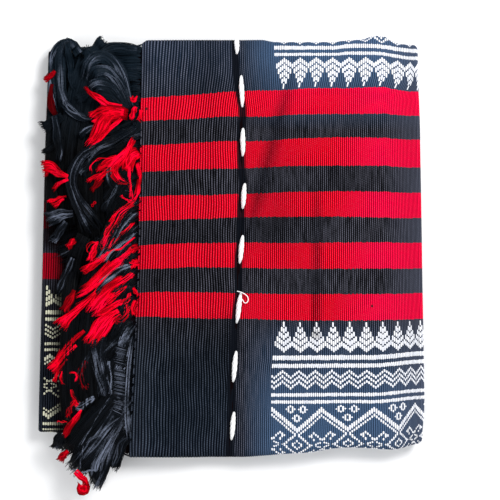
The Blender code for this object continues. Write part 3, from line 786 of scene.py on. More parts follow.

# Locks laid one by one, each on top of those before it
UPPER_LAID = [
    # colour, its share of painted highlight, its widths at the root, middle and end, places along
    # it
    (BLACK, 0.10, (14, 18, 14), [
        (64, 52), (57, 80), (55, 110), (54, 145), (54, 180), (55, 215), (57, 238),
    ]),
    (BLACK, 0.08, (20, 24, 22), [
        (90, 56), (82, 80), (77, 105), (73, 135), (71, 165), (72, 200), (74, 238),
    ]),
    (BLACK, 0.08, (24, 28, 26), [
        (112, 60), (104, 90), (97, 120), (93, 150), (92, 185), (94, 225), (98, 250),
    ]),
    (BLACK, 0.08, (20, 28, 26), [
        (118, 225), (106, 255), (95, 285), (89, 315), (87, 345), (88, 380), (92, 420),
    ]),
    (BLACK, 0.06, (14, 17, 14), [
        (86, 236), (76, 256), (71, 285), (72, 320), (70, 360), (70, 400), (74, 430),
    ]),
    (BLACK, 0.40, (5, 7, 5), [(74, 258), (66, 276), (57, 297)]),
    (BLACK, 0.50, (9, 10, 7), [(137, 50), (125, 49), (113, 48), (104, 52), (97, 60)]),
    (BLACK, 0.20, (8, 9, 10), [(98, 64), (93, 55), (96, 46), (105, 39)]),
    (BLACK, 0.15, (8, 8, 8), [(92, 64), (88, 54), (84, 46)]),
    (BLACK, 0.70, (9, 11, 9), [
        (80, 54), (71, 43), (61, 44), (54, 56), (52, 74), (53, 92), (57, 110),
    ]),
    (BLACK, 0.75, (8, 10, 8), [(74, 48), (67, 41), (61, 51), (60, 70), (61, 92), (66, 108)]),
    (BLACK, 0.60, (5, 6, 3), [(67, 42), (69, 54), (70, 68), (71, 80), (75, 90)]),
    (RED, 0.50, (3, 6, 4), [(55, 71), (49, 77), (43, 80)]),
    (RED, 0.03, (3, 6, 4), [(52, 84), (50, 97), (52, 108), (56, 118)]),
    (BLACK, 0.10, (8, 10, 13), [(63, 116), (52, 123), (42, 129)]),
    (BLACK, 0.10, (6, 7, 3), [(62, 141), (51, 148), (41, 152)]),
    (BLACK, 0.75, (5, 9, 6), [(55, 116), (57, 130), (60, 145), (61, 163)]),
    (BLACK, 0.85, (4, 9, 8), [(93, 120), (84, 118), (74, 112), (64, 103)]),
    (BLACK, 0.75, (8, 13, 11), [
        (131, 108), (126, 92), (120, 74), (112, 62), (101, 57), (91, 64), (86, 78),
    ]),
    (BLACK, 0.85, (8, 14, 13), [(129, 109), (122, 94), (115, 80), (107, 72), (98, 73), (92, 80)]),
    (BLACK, 0.90, (7, 13, 12), [(128, 110), (119, 98), (109, 88), (99, 85), (90, 90)]),
    (BLACK, 0.70, (5, 8, 5), [(126, 110), (116, 104), (105, 97), (97, 96)]),
    (BLACK, 0.95, (4, 7, 9), [(94, 92), (85, 96), (77, 101)]),
    (BLACK, 0.35, (10, 12, 8), [(120, 128), (108, 130), (96, 132), (84, 128)]),
    (BLACK, 0.90, (4, 7, 9), [(96, 127), (88, 131), (80, 136)]),
    (RED, 0.90, (5, 7, 1), [(123, 108), (112, 107), (102, 101), (94, 95), (86, 88)]),
    (RED, 0.55, (10, 17, 13), [(128, 115), (119, 114), (108, 115), (100, 117), (93, 121)]),
    (RED, 0.95, (6, 13, 10), [
        (125, 114), (116, 113), (108, 119), (103, 127), (98, 136), (88, 147),
    ]),
    (RED, 0.80, (3, 5, 2), [(123, 120), (114, 127), (107, 134), (98, 143), (91, 148)]),
    (RED, 0.85, (4, 5, 4), [(136, 107), (133, 113), (131, 120)]),
    (RED, 0.85, (4, 4, 3), [(141, 110), (140, 116), (138, 122)]),
    (RED, 0.60, (2, 3, 2), [(137, 96), (134, 101), (131, 97)]),
    (BLACK, 0.60, (6, 9, 7), [(135, 121), (137, 127), (131, 132), (124, 134)]),
    (BLACK, 0.55, (6, 11, 12), [
        (136, 127), (129, 133), (118, 139), (106, 146), (95, 152), (86, 158),
    ]),
    (BLACK, 0.75, (9, 11, 20), [
        (98, 149), (85, 156), (77, 168), (73, 182), (77, 198), (86, 214), (96, 231),
    ]),
    (BLACK, 0.95, (4, 8, 10), [(92, 160), (88, 167), (81, 174)]),
    (BLACK, 0.65, (5, 11, 7), [(110, 168), (111, 179), (119, 189), (130, 196)]),
    (BLACK, 0.60, (5, 8, 10), [(119, 186), (113, 198), (104, 213)]),
    (RED, 0.10, (4, 6, 3), [(104, 180), (98, 186), (93, 192)]),
    (RED, 0.80, (3, 9, 15), [(70, 177), (59, 173), (50, 168), (42, 169)]),
    (RED, 0.80, (2, 4, 4), [(70, 180), (61, 184), (53, 190)]),
    (RED, 0.60, (2, 3, 3), [(67, 196), (57, 199), (48, 202)]),
    (RED, 0.75, (2, 4, 4), [(65, 199), (60, 202), (54, 207)]),
    (BLACK, 0.80, (6, 12, 16), [(74, 213), (61, 215), (47, 221)]),
    (BLACK, 0.55, (5, 8, 10), [(67, 222), (60, 232), (53, 243)]),
    (RED, 0.75, (2, 2, 1), [(97, 202), (93, 207)]),
    (RED, 0.70, (3, 6, 5), [(78, 238), (73, 243), (68, 248)]),
    (RED, 0.80, (3, 9, 4), [(118, 157), (112, 161), (105, 167), (98, 172)]),
    (RED, 0.55, (3, 4, 3), [(117, 171), (104, 175), (88, 182)]),
    (RED, 0.30, (3, 5, 3), [(112, 176), (120, 182), (130, 185)]),
    (RED, 0.75, (12, 12, 10), [(139, 152), (133, 156), (130, 164), (128, 172)]),
    (RED, 0.90, (4, 7, 3), [(134, 140), (128, 152), (119, 160), (111, 168), (97, 182)]),
    (RED, 0.90, (4, 6, 4), [(134, 142), (126, 158), (117, 170), (121, 179), (127, 182)]),
    (RED, 1.00, (1.5, 1.5, 1.5), [(133, 137), (128, 150), (118, 168), (112, 178)]),
    (RED, 1.00, (1.2, 1.2, 1.0), [(112, 159), (99, 160), (93, 166), (92, 174)]),
    (RED, 0.90, (4, 3, 3), [(130, 165), (131, 180), (132, 192), (133, 201)]),
    (RED, 0.90, (4, 4, 3), [(138, 163), (140, 178), (139, 190), (134, 202)]),
    (RED, 0.85, (2, 2, 5), [(122, 196), (129, 201), (136, 203)]),
    (BLACK, 0.55, (7, 9, 8), [(137, 212), (128, 221), (119, 233), (109, 248), (99, 262)]),
    (RED, 1.00, (6, 12, 6), [
        (137, 202), (130, 207), (122, 213), (117, 222), (111, 232), (106, 242), (103, 249),
    ]),
    (RED, 1.00, (1.5, 1.5, 1.0), [(116, 220), (108, 229), (107, 236), (113, 234)]),
    (RED, 0.90, (3, 5, 4), [(135, 222), (128, 230), (120, 237), (113, 244), (107, 250)]),
    (BLACK, 0.60, (5, 6, 4), [(137, 232), (128, 241), (117, 248), (106, 262)]),
    (RED, 0.90, (4, 5, 4), [
        (137, 236), (129, 242), (122, 248), (114, 250), (107, 257), (101, 263),
    ]),
    (RED, 0.90, (3, 6, 5), [(99, 243), (95, 251), (91, 261)]),
    (RED, 1.00, (1.4, 1.4, 1.2), [(100, 242), (91, 244), (88, 249), (91, 253)]),
    (RED, 0.90, (4, 6, 8), [(110, 253), (100, 260), (92, 267), (84, 272)]),
    (RED, 0.45, (5, 6, 5), [(112, 262), (103, 271), (94, 281), (84, 291)]),
    (RED, 0.35, (4, 8, 9), [(76, 290), (72, 299), (66, 311)]),
    (RED, 0.55, (6, 7, 5), [(139, 246), (134, 249), (130, 254), (126, 258)]),
    (RED, 0.95, (6, 9, 6), [
        (136, 245), (131, 251), (122, 260), (112, 268), (103, 277), (95, 285), (87, 292), (79, 296),
    ]),
    (BLACK, 0.65, (5, 10, 8), [(134, 264), (123, 268), (112, 275), (104, 284), (97, 293)]),
    (RED, 0.90, (1.5, 2, 1.5), [
        (133, 263), (122, 265), (111, 273), (100, 285), (92, 296), (79, 304),
    ]),
    (RED, 0.80, (8, 8, 7), [(139, 262), (134, 264), (131, 265)]),
    (RED, 0.70, (3, 6, 14), [(97, 292), (86, 303), (77, 311), (69, 318), (62, 327)]),
    (RED, 1.00, (5, 15, 13), [
        (136, 270), (131, 276), (121, 282), (110, 290), (101, 300), (92, 313),
    ]),
    (BLACK, 0.50, (3, 6, 3), [(129, 284), (122, 288), (114, 294)]),
    (RED, 0.95, (3, 7, 5), [(130, 284), (123, 290), (115, 296), (106, 302)]),
    (RED, 0.85, (3, 7, 6), [(131, 290), (129, 299), (119, 303), (108, 309), (97, 315)]),
    (RED, 0.70, (3, 3, 2), [(134, 287), (137, 292), (140, 295)]),
    (RED, 0.75, (5, 6, 6), [(136, 299), (134, 306), (136, 315)]),
    (RED, 0.80, (5, 8, 6), [(128, 302), (128, 313), (122, 320), (114, 317)]),
    (RED, 1.00, (9, 17, 16), [(121, 312), (112, 317), (104, 325), (97, 334), (90, 344)]),
    (RED, 0.55, (3, 9, 8), [(86, 330), (76, 338), (67, 349), (60, 359), (52, 369)]),
    (RED, 0.90, (3, 6, 8), [(78, 344), (68, 353), (60, 361), (51, 369)]),
    (RED, 0.50, (2, 4, 4), [(69, 358), (60, 370), (55, 382)]),
    (RED, 0.75, (2, 3, 3), [(64, 370), (63, 377), (64, 384)]),
    (RED, 0.25, (4, 9, 7), [(88, 360), (83, 370), (84, 380), (89, 388)]),
    (RED, 0.70, (2, 3, 2), [(71, 371), (77, 372), (78, 380)]),
    (BLACK, 0.55, (4, 7, 6), [(92, 350), (88, 360), (80, 374)]),
    (RED, 0.65, (3, 5, 5), [(73, 388), (75, 396), (80, 405)]),
    (RED, 0.60, (6, 7, 5), [(77, 399), (72, 406), (71, 416)]),
    (RED, 0.95, (1.2, 1.2, 1.2), [(69, 420), (64, 420), (58, 421)]),
    (BLACK, 0.12, (16, 22, 16), [(118, 392), (104, 408), (90, 424), (74, 440), (60, 452)]),
    (BLACK, 0.15, (14, 20, 18), [(116, 400), (102, 422), (88, 444), (76, 470)]),
    (RED, 0.80, (3, 6, 5), [(83, 408), (75, 421), (69, 429), (65, 437)]),
    (BLACK, 0.36, (9, 13, 9), [(96, 338), (96, 352), (99, 368), (102, 382), (104, 395)]),
    (BLACK, 0.38, (7, 11, 9), [(106, 336), (103, 352), (105, 368), (108, 382), (110, 396)]),
    (BLACK, 0.60, (4, 4, 3), [(98, 346), (105, 342), (109, 349), (105, 356), (101, 350)]),
    (BLACK, 0.80, (3, 7, 5), [(111, 360), (111, 376), (113, 394)]),
    (BLACK, 0.85, (5, 7, 9), [(96, 396), (88, 401), (78, 408)]),
    (BLACK, 0.30, (10, 12, 12), [(64, 432), (60, 442), (58, 449)]),
    (RED, 0.45, (4, 7, 8), [(69, 450), (64, 455), (60, 462)]),
    (BLACK, 0.45, (8, 12, 14), [(126, 398), (112, 416), (96, 438), (82, 458), (70, 471)]),
    (BLACK, 0.55, (6, 14, 16), [(126, 410), (112, 430), (99, 448), (86, 462), (78, 472)]),
    (BLACK, 0.60, (6, 14, 14), [(124, 416), (112, 434), (103, 452), (98, 468), (100, 482)]),
    (BLACK, 0.55, (6, 12, 12), [(124, 420), (114, 440), (107, 456), (102, 472), (95, 487)]),
    (BLACK, 0.80, (5, 8, 7), [(124, 414), (112, 424), (98, 434), (86, 444)]),
    (BLACK, 0.95, (1.2, 1.2, 1.0), [(112, 396), (102, 410), (92, 428), (79, 446)]),
    (BLACK, 0.95, (1.0, 1.0, 1.0), [(85, 444), (83, 456), (81, 468)]),
    (BLACK, 0.90, (1.2, 1.2, 1.0), [(74, 468), (84, 470), (98, 467)]),
    (RED, 0.95, (5, 6, 5), [(77, 469), (82, 474), (87, 481), (87, 488)]),
    (RED, 0.85, (6, 8, 6), [(88, 484), (86, 490), (81, 487), (83, 482)]),
    (BLACK, 0.60, (10, 13, 12), [
        (134, 322), (126, 334), (122, 350), (121, 368), (121, 386), (120, 404), (116, 420),
    ]),
    (BLACK, 0.95, (4, 7, 7), [
        (134, 334), (131, 352), (128, 372), (127, 392), (127, 414), (130, 436),
    ]),
]
COLUMN = len(UPPER_LAID) - 2  # the thick lock beside the cloth's end, which is wound with coils
# Each coil's place along the column, and how wide it is
COILS = [
    (0.30, 1.05), (0.40, 1.10), (0.53, 1.05), (0.60, 1.05), (0.69, 1.10), (0.80, 1.05),
    (0.90, 1.10),
]

UPPER_LOCK_STEP, LOWER_LOCK_STEP = 0.0088, 0.0104  # between the locks that fill, along weft
# The locks that fill the fringe out beneath: lean and curl at places across the cloth
UPPER_WEFT = [-0.160, -0.130, -0.100, -0.050, 0.000, 0.050, 0.100, 0.150, 0.200, 0.250]
UPPER_LEAN = [-24, -4, 20, 38, 48, 54, 56, 58, 60, 58]
UPPER_CURL = [54, 48, 34, 20, 8, 2, 0, 2, 4, 6]
UPPER_REACH = [0.074, 0.074, 0.074, 0.074, 0.074, 0.074, 0.072, 0.066, 0.052, 0.036]
LOWER_WEFT = [-0.160, -0.100, -0.050, 0.030, 0.080, 0.150, 0.200, 0.250]
LOWER_LEAN = [0, 4, 14, 34, 50, 56, 56, 54]
LOWER_REACH = [0.082, 0.084, 0.086, 0.088, 0.086, 0.085, 0.080, 0.066]


class Bed:
    """The height of whatever the fringe comes to lie on, on a fine grid over the plan."""

    STEP = 0.001
    LEFT, NEAR = -0.270, -0.300
    COLUMNS, ROWS = 480, 570

    def __init__(self):
        self.height = np.zeros((self.COLUMNS, self.ROWS))
        weft = np.linspace(-0.186, 0.270, 800)
        for start, end, depth in (
            (UPPER_END_X, RIGHT_TURN_X, 0.0),
            (LOWER_END_X, UPPER_END_X, LAYER_PITCH),
            (PACKET_LEFT, UPPER_END_X, 2 * LAYER_PITCH),
        ):
            x = np.arange(start, end, 0.0006)
            y, z = fold_width(weft[None, :], depth)
            self.raise_to(settle(x[:, None], y, z))

    def cell(self, x, y):
        """The grid's cell under a place."""
        column = np.clip(((x - self.LEFT) / self.STEP).astype(int), 1, self.COLUMNS - 2)
        return column, np.clip(((y - self.NEAR) / self.STEP).astype(int), 1, self.ROWS - 2)

    def raise_to(self, points):
        """Takes in what has been laid, so that what comes next lies on it."""
        points = points.reshape(-1, 3)
        column, row = self.cell(points[:, 0], points[:, 1])
        for aside in (-1, 0, 1):
            for along in (-1, 0, 1):
                np.maximum.at(self.height, (column + aside, row + along), points[:, 2])

    def read(self, x, y):
        """The height at places."""
        return self.height[self.cell(np.asarray(x), np.asarray(y))]


def smooth_line(points, count):
    """A smooth line through the points, in even steps."""
    points = np.asarray(points, float)
    ends = np.vstack([2 * points[0] - points[1], points, 2 * points[-1] - points[-2]])
    share = np.linspace(0, 1, 16)[:-1, None]
    pieces = []
    for a, b, c, d in zip(ends, ends[1:], ends[2:], ends[3:]):
        bend = 2 * a - 5 * b + 4 * c - d
        pieces.append(
            0.5 * (2 * b + (c - a) * share + bend * share**2 + (3 * b - a - 3 * c + d) * share**3)
        )
    dense = np.vstack(pieces + [points[-1:]])
    gone = np.append(0.0, np.cumsum(np.linalg.norm(np.diff(dense, axis=0), axis=1)))
    at = np.linspace(0, gone[-1], count)
    return np.stack([np.interp(at, gone, dense[:, axis]) for axis in range(points.shape[1])], 1)


class Yarns:
    """Yarns that are gathered into one mesh, each a thin tube along its own line."""

    def __init__(self, sides=3):
        self.sides = sides
        self.patches = Patches(("tone", "along", "lit"))

    def add(self, lines, radius, slot, tone, lit=0.5):
        """Yarns with the same number of points. radius and lit may have a value for each."""
        ahead = np.gradient(lines, axis=1)
        ahead /= np.maximum(np.linalg.norm(ahead, axis=2, keepdims=True), 1e-9)
        side = np.cross(ahead, np.array([0.0, 0.0, 1.0]))
        length = np.linalg.norm(side, axis=2, keepdims=True)
        side = np.where(length > 1e-4, side / np.maximum(length, 1e-9), np.array([1.0, 0.0, 0.0]))
        up = np.cross(side, ahead)
        turn = np.linspace(0, 2 * math.pi, self.sides, endpoint=False) + math.pi / 2
        radius = np.broadcast_to(radius, lines.shape[:2])[..., None, None]
        ring = np.cos(turn)[:, None] * side[:, :, None, :]
        ring = ring + np.sin(turn)[:, None] * up[:, :, None, :]
        rings = lines[:, :, None, :] + radius * ring
        tone = np.asarray(tone)[:, None, None]
        along = np.linspace(0, 1, lines.shape[1])[None, :, None]
        lit = np.broadcast_to(lit, lines.shape[:2])[..., None]
        self.patches.add_tubes(rings, slot, tone=tone, along=along, lit=lit)

    def build(self, name, looks):
        """The object made of all the yarns."""
        return self.patches.build(name, looks)


def rest_on(bed, line, aside, half_width, half_height, rooted, root_height):
    """The height at which a lock comes to lie along its line."""
    over = [line + aside * half_width[:, None] * out for out in (-0.8, -0.4, 0, 0.4, 0.8)]
    held = np.max([bed.read(*places.T) for places in over], axis=0)
    step = np.linalg.norm(line[1] - line[0])
    if rooted:
        held[0] = root_height - half_height[0]
    for at in range(1, len(held)):
        held[at] = max(held[at], held[at - 1] - 1.1 * step)
    for at in range(len(held) - 2, -1, -1):
        if not (rooted and at < 3):
            held[at] = max(held[at], held[at + 1] - 1.6 * step)
    padded = np.concatenate([[held[0]] * 3, held, [held[-1]] * 3])
    held = np.maximum(np.convolve(padded, np.ones(7) / 7, "valid"), 0.0)
    return np.minimum(held, PILE_LIMIT - 2 * half_height)


def lay_lock(yarns, bed, lock, seed, steps=16, density=DENSITY, root_height=ROOT_HEIGHT):
    """Lays one lock on the bed: a dark heart, which also stands in for the shade within the lock,
    and yarns over it that keep together in small strands, wave a little and end unevenly. Gives
    its middle line, half width and height."""
    slot, light, widths, places = lock
    draw = np.random.default_rng(seed)
    plan = np.array([(PLAN_LEFT + x * MM, PLAN_FAR - y * MM) for x, y in places])
    line = smooth_line(plan, 48)
    share = np.linspace(0, 1, 48)
    length = np.linalg.norm(np.diff(line, axis=0), axis=1).sum()
    ahead = np.gradient(line, axis=0)
    ahead /= np.maximum(np.linalg.norm(ahead, axis=1, keepdims=True), 1e-9)
    aside = np.stack([ahead[:, 1], -ahead[:, 0]], 1)
    rooted = places[0][0] > ROOTED_FROM
    middle, end = ease(share / 0.5), ease(share / 0.5 - 1)
    width = widths[0] + (widths[1] - widths[0]) * middle + (widths[2] - widths[1]) * end
    half_width = width * MM / 2
    flat = 0.55 if density < DENSITY or light < 0.13 else 1.0
    half_height = (0.0003 + LOCK_TALL * np.tanh(half_width * 0.45 / LOCK_TALL)) * flat
    held = rest_on(bed, line, aside, half_width, half_height, rooted, root_height)

    whole = max(widths)
    if whole > 2.5:
        at = np.linspace(0, 0.93, steps)
        turn = np.linspace(0, 2 * math.pi, 6, endpoint=False)
        fade = np.clip((0.97 - at) * 9, 0.2, 1) * np.clip(at * 12 + 0.35, 0, 1)
        wide = (np.interp(at, share, half_width) * fade * 0.84)[:, None] * np.cos(turn)
        tall = (np.interp(at, share, half_height) * fade * 0.72)[:, None] * np.sin(turn)
        heart = [
            np.interp(at, share, line[:, axis])[:, None]
            + np.interp(at, share, aside[:, axis])[:, None] * wide
            for axis in (0, 1)
        ]
        middle_height = np.interp(at, share, held + half_height * 0.9)[:, None]
        heart = np.stack([*heart, np.maximum(middle_height + tall, 0.0002)], axis=-1)
        # the heart takes little painted highlight, so it reads as the shade inside the lock
        shown = 0.24 * light if slot == RED else 0.10
        yarns.patches.add_tubes(heart[None], slot, tone=0.5, along=0.5, lit=shown)
        bed.raise_to(heart)

    count = max(3, int(round(whole * density)))
    groups = max(2, int(round(whole / 1.5)))
    group = np.arange(count) % groups
    angle = math.pi * (np.arange(groups) + draw.uniform(0.2, 0.8, groups)) / groups
    angle = angle[group] + draw.normal(0, 0.34 / groups, count) * 2
    radius = draw.uniform(0.80, 1.06, count)[:, None]
    own = np.linspace(0, 1, steps)[None, :] * draw.uniform(0.86, 1.03, (count, 1))
    spin = angle[:, None] + own * draw.uniform(-0.7, 0.7)
    spin = spin + 0.10 * np.sin(9 * own + group[:, None] * 2.3)
    out, high = radius * np.cos(spin), radius * np.sin(spin)
    swing = draw.uniform(0.8, 2.2, groups)[group][:, None]
    phase = draw.uniform(0, 1, groups)[group][:, None]
    wave = (0.0003 + 0.0006 * own) * np.sin(2 * math.pi * (own * swing + phase))
    tremble = own * draw.uniform(2, 4, (count, 1)) + draw.uniform(0, 1, (count, 1))
    wave = wave + 0.00022 * np.sin(2 * math.pi * tremble)
    flare = ease((own - 0.72) / 0.3) * draw.normal(0, 0.0009, (count, 1)) * (whole > 2.5)

    def along(values):
        return np.interp(np.clip(own, 0, 1), share, values)

    shift = along(half_width) * out + wave + flare
    over_end = np.maximum(own - 1, 0) * length
    x = along(line[:, 0]) + along(aside[:, 0]) * shift + ahead[-1, 0] * over_end
    y = along(line[:, 1]) + along(aside[:, 1]) * shift + ahead[-1, 1] * over_end
    z = np.maximum(along(held + half_height) + along(half_height) * high, YARN_RADIUS)
    lines = np.stack([x, y, z], axis=-1)
    thick = YARN_RADIUS * draw.uniform(0.8, 1.25, (count, 1))
    thick = thick * (1 - 0.55 * ease((own - 0.9) / 0.12))
    # painted highlight: yarns on top of the lock and along glossy bands are lighter, those beneath
    # darker, and near black locks lighter than far ones
    gloss = 0.5 + 0.5 * wander(seed, 0.011, own * length + 0.0012 * group[:, None])
    tone = 0.30 * draw.uniform(0, 1, count) + 0.70 * draw.uniform(0, 1, groups)[group]
    lit = light * (0.25 + 0.75 * np.clip(high, 0, 1)) * (0.30 + 1.1 * gloss**1.5)
    if slot == RED:
        lit = lit * (0.42 + 1.15 * tone[:, None])
    elif places[0][1] < HALFWAY:
        lit = lit * (0.25 + 1.55 * tone[:, None] ** 2)
    else:
        lit = lit * (0.75 + 2.1 * tone[:, None] ** 1.6)
    yarns.add(lines, thick, slot, tone, lit)
    bed.raise_to(lines + np.array([0, 0, 0.0003]))
    return np.column_stack([line, held + half_height]), half_width, half_height, slot


def wind(yarns, lock, at, fat, seed, turns=7, steps=14):
    """Winds yarns round a lock at a share of its length, as one thick coil."""
    middle, half_width, half_height, slot = lock
    draw = np.random.default_rng(seed)
    share = np.linspace(0, 1, len(middle))
    length = np.linalg.norm(np.diff(middle, axis=0), axis=1).sum()
    ahead = np.gradient(middle[:, :2], axis=0)
    ahead /= np.maximum(np.linalg.norm(ahead, axis=1, keepdims=True), 1e-9)
    span = 0.0100 / length
    for number in range(turns):
        start = at + span * ((number + 0.5) / turns - 0.5)
        own = np.clip(start + span * draw.uniform(0.12, 0.34) * np.linspace(-1, 1, steps), 0, 1)
        turn = draw.uniform(-0.3, 0.3) + np.linspace(-0.25, math.pi + 0.25, steps)
        lump = 0.80 + 0.34 * math.sin(math.pi * (number + 0.5) / turns)
        wide = np.interp(own, share, half_width) * fat * lump * np.cos(turn)
        tall = np.interp(own, share, half_height) * fat * 1.15 * lump * np.sin(turn)
        point = np.stack([np.interp(own, share, middle[:, axis]) for axis in range(3)], 1)
        point[:, 0] += np.interp(own, share, ahead[:, 1]) * wide
        point[:, 1] -= np.interp(own, share, ahead[:, 0]) * wide
        point[:, 2] += tall
        for strand in (-1, 0, 1):
            moved = point + np.array([0.0002, 0.00065, 0.0]) * strand
            # painted highlight on the top of each turn, painted shade beneath
            lit = 0.85 * np.clip(np.sin(turn), 0.1, 1) ** 1.5 * (0.15 + 1.1 * draw.uniform() ** 1.6)
            yarns.add(moved[None], 0.00045, slot, [draw.uniform()], lit[None])


def end_place(weft, shift):
    """The plan place of the fringed end of the cloth, at a place across the packet."""
    end = LOWER_END_X if shift else UPPER_END_X
    y, z = fold_width(np.array(weft), LAYER_DEPTHS[1] if shift else LAYER_DEPTHS[0])
    x, y, _ = settle(np.array(end), y, z)
    return (x - PLAN_LEFT) / MM, (PLAN_FAR - y) / MM


def filling_locks(lower):
    """The locks that grow along one fringed end, in the colours of its warp."""
    table, leans = (LOWER_WEFT, LOWER_LEAN) if lower else (UPPER_WEFT, UPPER_LEAN)
    locks = []
    step = LOWER_LOCK_STEP if lower else UPPER_LOCK_STEP
    for number, weft in enumerate(np.arange(-0.158, 0.238, step)):
        draw = np.random.default_rng(300 + number + 500 * lower)
        lean = np.interp(weft, table, leans) + draw.uniform(-9, 9)
        curl = 0 if lower else np.interp(weft, table, UPPER_CURL)
        reach = np.interp(weft, table, LOWER_REACH if lower else UPPER_REACH) / MM
        reach = reach * draw.uniform(0.85, 1.0)
        x, y = end_place(weft, lower)
        places = [(x + draw.uniform(-1.2, 0.8), y)]
        for part in range(1, 6):
            heading = math.radians(lean * min(1.0, 0.45 + 0.22 * part) + curl * (part / 5) ** 2)
            heading += math.radians(draw.uniform(-10, 10))
            x, y = x - reach / 5 * math.cos(heading), y + reach / 5 * math.sin(heading)
            places.append((x, y))
        # how much painted highlight the filling lock carries
        light = draw.uniform(0.12, 0.34)
        locks.append((BLACK, light, (10.5, 12.5, 14.0), places))
    return locks


def hidden_locks(yarns, end_x, depth, seed):
    """The short flat locks of the two thirds that are folded in beneath."""
    draw = np.random.default_rng(seed)
    arc = math.pi * EDGE_RADIUS
    far = np.arange(-0.570, FAR_TURN_WEFT - arc, 0.0135)
    near = np.arange(NEAR_TURN_WEFT + arc + 0.006, 0.570, 0.0135)
    turns = np.array([FAR_TURN_WEFT - arc * 0.5, NEAR_TURN_WEFT + arc * 0.5])
    for weft in np.concatenate([far, near, turns]):
        count = 14
        own = np.linspace(0, 1, 7)[None, :]
        reach = draw.uniform(0.058, 0.076, (count, 1))
        x = end_x - reach * own
        place = weft + draw.uniform(-0.0055, 0.0055, (count, 1)) * (0.7 + 0.4 * own)
        place = place + 0.0012 * np.sin(7 * own + draw.uniform(0, 6, (count, 1)))
        deep = depth + draw.uniform(-0.0005, 0.0005, (count, 1))
        y, z = fold_width(place, deep)
        shown = weft + (UNDER_SHIFT if end_x == LOWER_END_X else 0.0)
        colour = RED if is_red(np.array(shown)) else BLACK
        yarns.add(settle(x, y, z), YARN_RADIUS, colour, draw.uniform(0, 1, count), 0.35)


def make_fringes(looks):
    """Both fringes, the lower one first, so that the upper one lies on it."""
    bed = Bed()
    lower, upper = Yarns(), Yarns()
    far, near, red = Yarns(), Yarns(), Yarns()
    root = TOP_HEIGHT - LAYER_DEPTHS[1]
    for number, lock in enumerate(filling_locks(True)):
        lay_lock(lower, bed, lock, 900 + number, 12, SPARSE, root)
    hidden_locks(lower, LOWER_END_X, LAYER_DEPTHS[1], 61)
    for number, lock in enumerate(filling_locks(False)):
        lay_lock(upper, bed, lock, 1200 + number, 12, SPARSE * 1.6)
    hidden_locks(upper, UPPER_END_X, LAYER_DEPTHS[0], 62)
    held = []
    for number, lock in enumerate(UPPER_LAID):
        laid = red if lock[0] == RED else far if lock[3][0][1] < HALFWAY else near
        held.append(lay_lock(laid, bed, lock, 1500 + number))
    for number, (share, fat) in enumerate(COILS):
        wind(near, held[COLUMN], share, fat, 140 + number)
    return [
        yarns.build(name, looks)
        for name, yarns in zip(FRINGE_PIECES, (lower, upper, far, near, red))
    ]


# The white tacks
PLIES, PLY_RADIUS, PLY_ROUND = 4, 0.00150, 0.00125
STRAIGHTER_TACK, LOOPED_TACK = 1, 5  # counted from the far edge
# The loose end of thread beside one tack, in plan millimetres as the locks are
LOOSE_LOOP = [(237, 291), (243, 293), (247.5, 296.5), (248, 301), (245, 303), (242, 299)]


def make_tack(number, looks):
    """One long tacking stitch of soft white yarn, its plies twisted and its ends sunk in."""
    weft, length, x_far, x_near = STITCHES[number]
    if number == STRAIGHTER_TACK:
        x_far, x_near = x_far + 0.0030, x_near - 0.0025
    yarns = Yarns(8)
    draw = np.random.default_rng(700 + number)
    share = np.linspace(0, 1, 26)
    full = np.sin(math.pi * np.clip(share, 0.0, 1.0) ** 0.9) ** 0.55
    lines = []
    for ply in range(PLIES):
        turn = 2 * math.pi * (ply / PLIES + 1.35 * share) + draw.uniform(-0.2, 0.2)
        out = PLY_ROUND * full * np.cos(turn) + 0.0002 * np.sin(9 * share + ply)
        lift = PLY_ROUND * full * np.sin(turn) + 0.0032 - 0.0040 * (1 - full)
        x = x_far + (x_near - x_far) * share + out
        y, z = fold_width(weft + (length - 0.002) * (share - 0.5), np.zeros(len(share)))
        point = settle(x, y, z)
        point[:, 2] += lift
        lines.append(point)
    yarns.add(np.array(lines), PLY_RADIUS * (0.30 + 0.70 * full), 0, draw.uniform(0, 1, PLIES), 0.9)
    if number == LOOPED_TACK:
        loop = smooth_line(LOOSE_LOOP, len(share))
        x, y = PLAN_LEFT + loop[:, 0] * MM, PLAN_FAR - loop[:, 1] * MM
        z = np.full(len(x), TOP_HEIGHT + 0.0010) + 0.0012 * np.sin(math.pi * share)
        yarns.add(np.stack([x, y, z], -1)[None], 0.00045, 0, [0.5], 0.9)
    return yarns.build(f"tack_{number + 1}", looks)


# Looks


class Level:
    """A number's socket in a material. Arithmetic on it adds the nodes that work it out."""

    def __init__(self, look, socket):
        self.look, self.socket = look, socket

    def math(self, operation, *values):
        node = self.look.node("ShaderNodeMath", {"operation": operation}, dict(enumerate(values)))
        return Level(self.look, node.outputs[0])

    def __add__(self, other):
        return self.math("ADD", self, other)

    __radd__ = __add__

    def __mul__(self, other):
        return self.math("MULTIPLY", self, other)

    __rmul__ = __mul__

    def __sub__(self, other):
        return self.math("SUBTRACT", self, other)

    def __rsub__(self, other):
        return self.math("SUBTRACT", other, self)

    def __pow__(self, other):
        return self.math("POWER", self, other)

    def __abs__(self):
        return self.math("ABSOLUTE", self)

    def fraction(self):
        return self.math("FRACT", self)

    def floor(self):
        return self.math("FLOOR", self)

    def sine(self):
        return self.math("SINE", self)

    def within(self):
        """Kept from 0 to 1."""
        return self.math("MAXIMUM", self.math("MINIMUM", self, 1.0), 0.0)


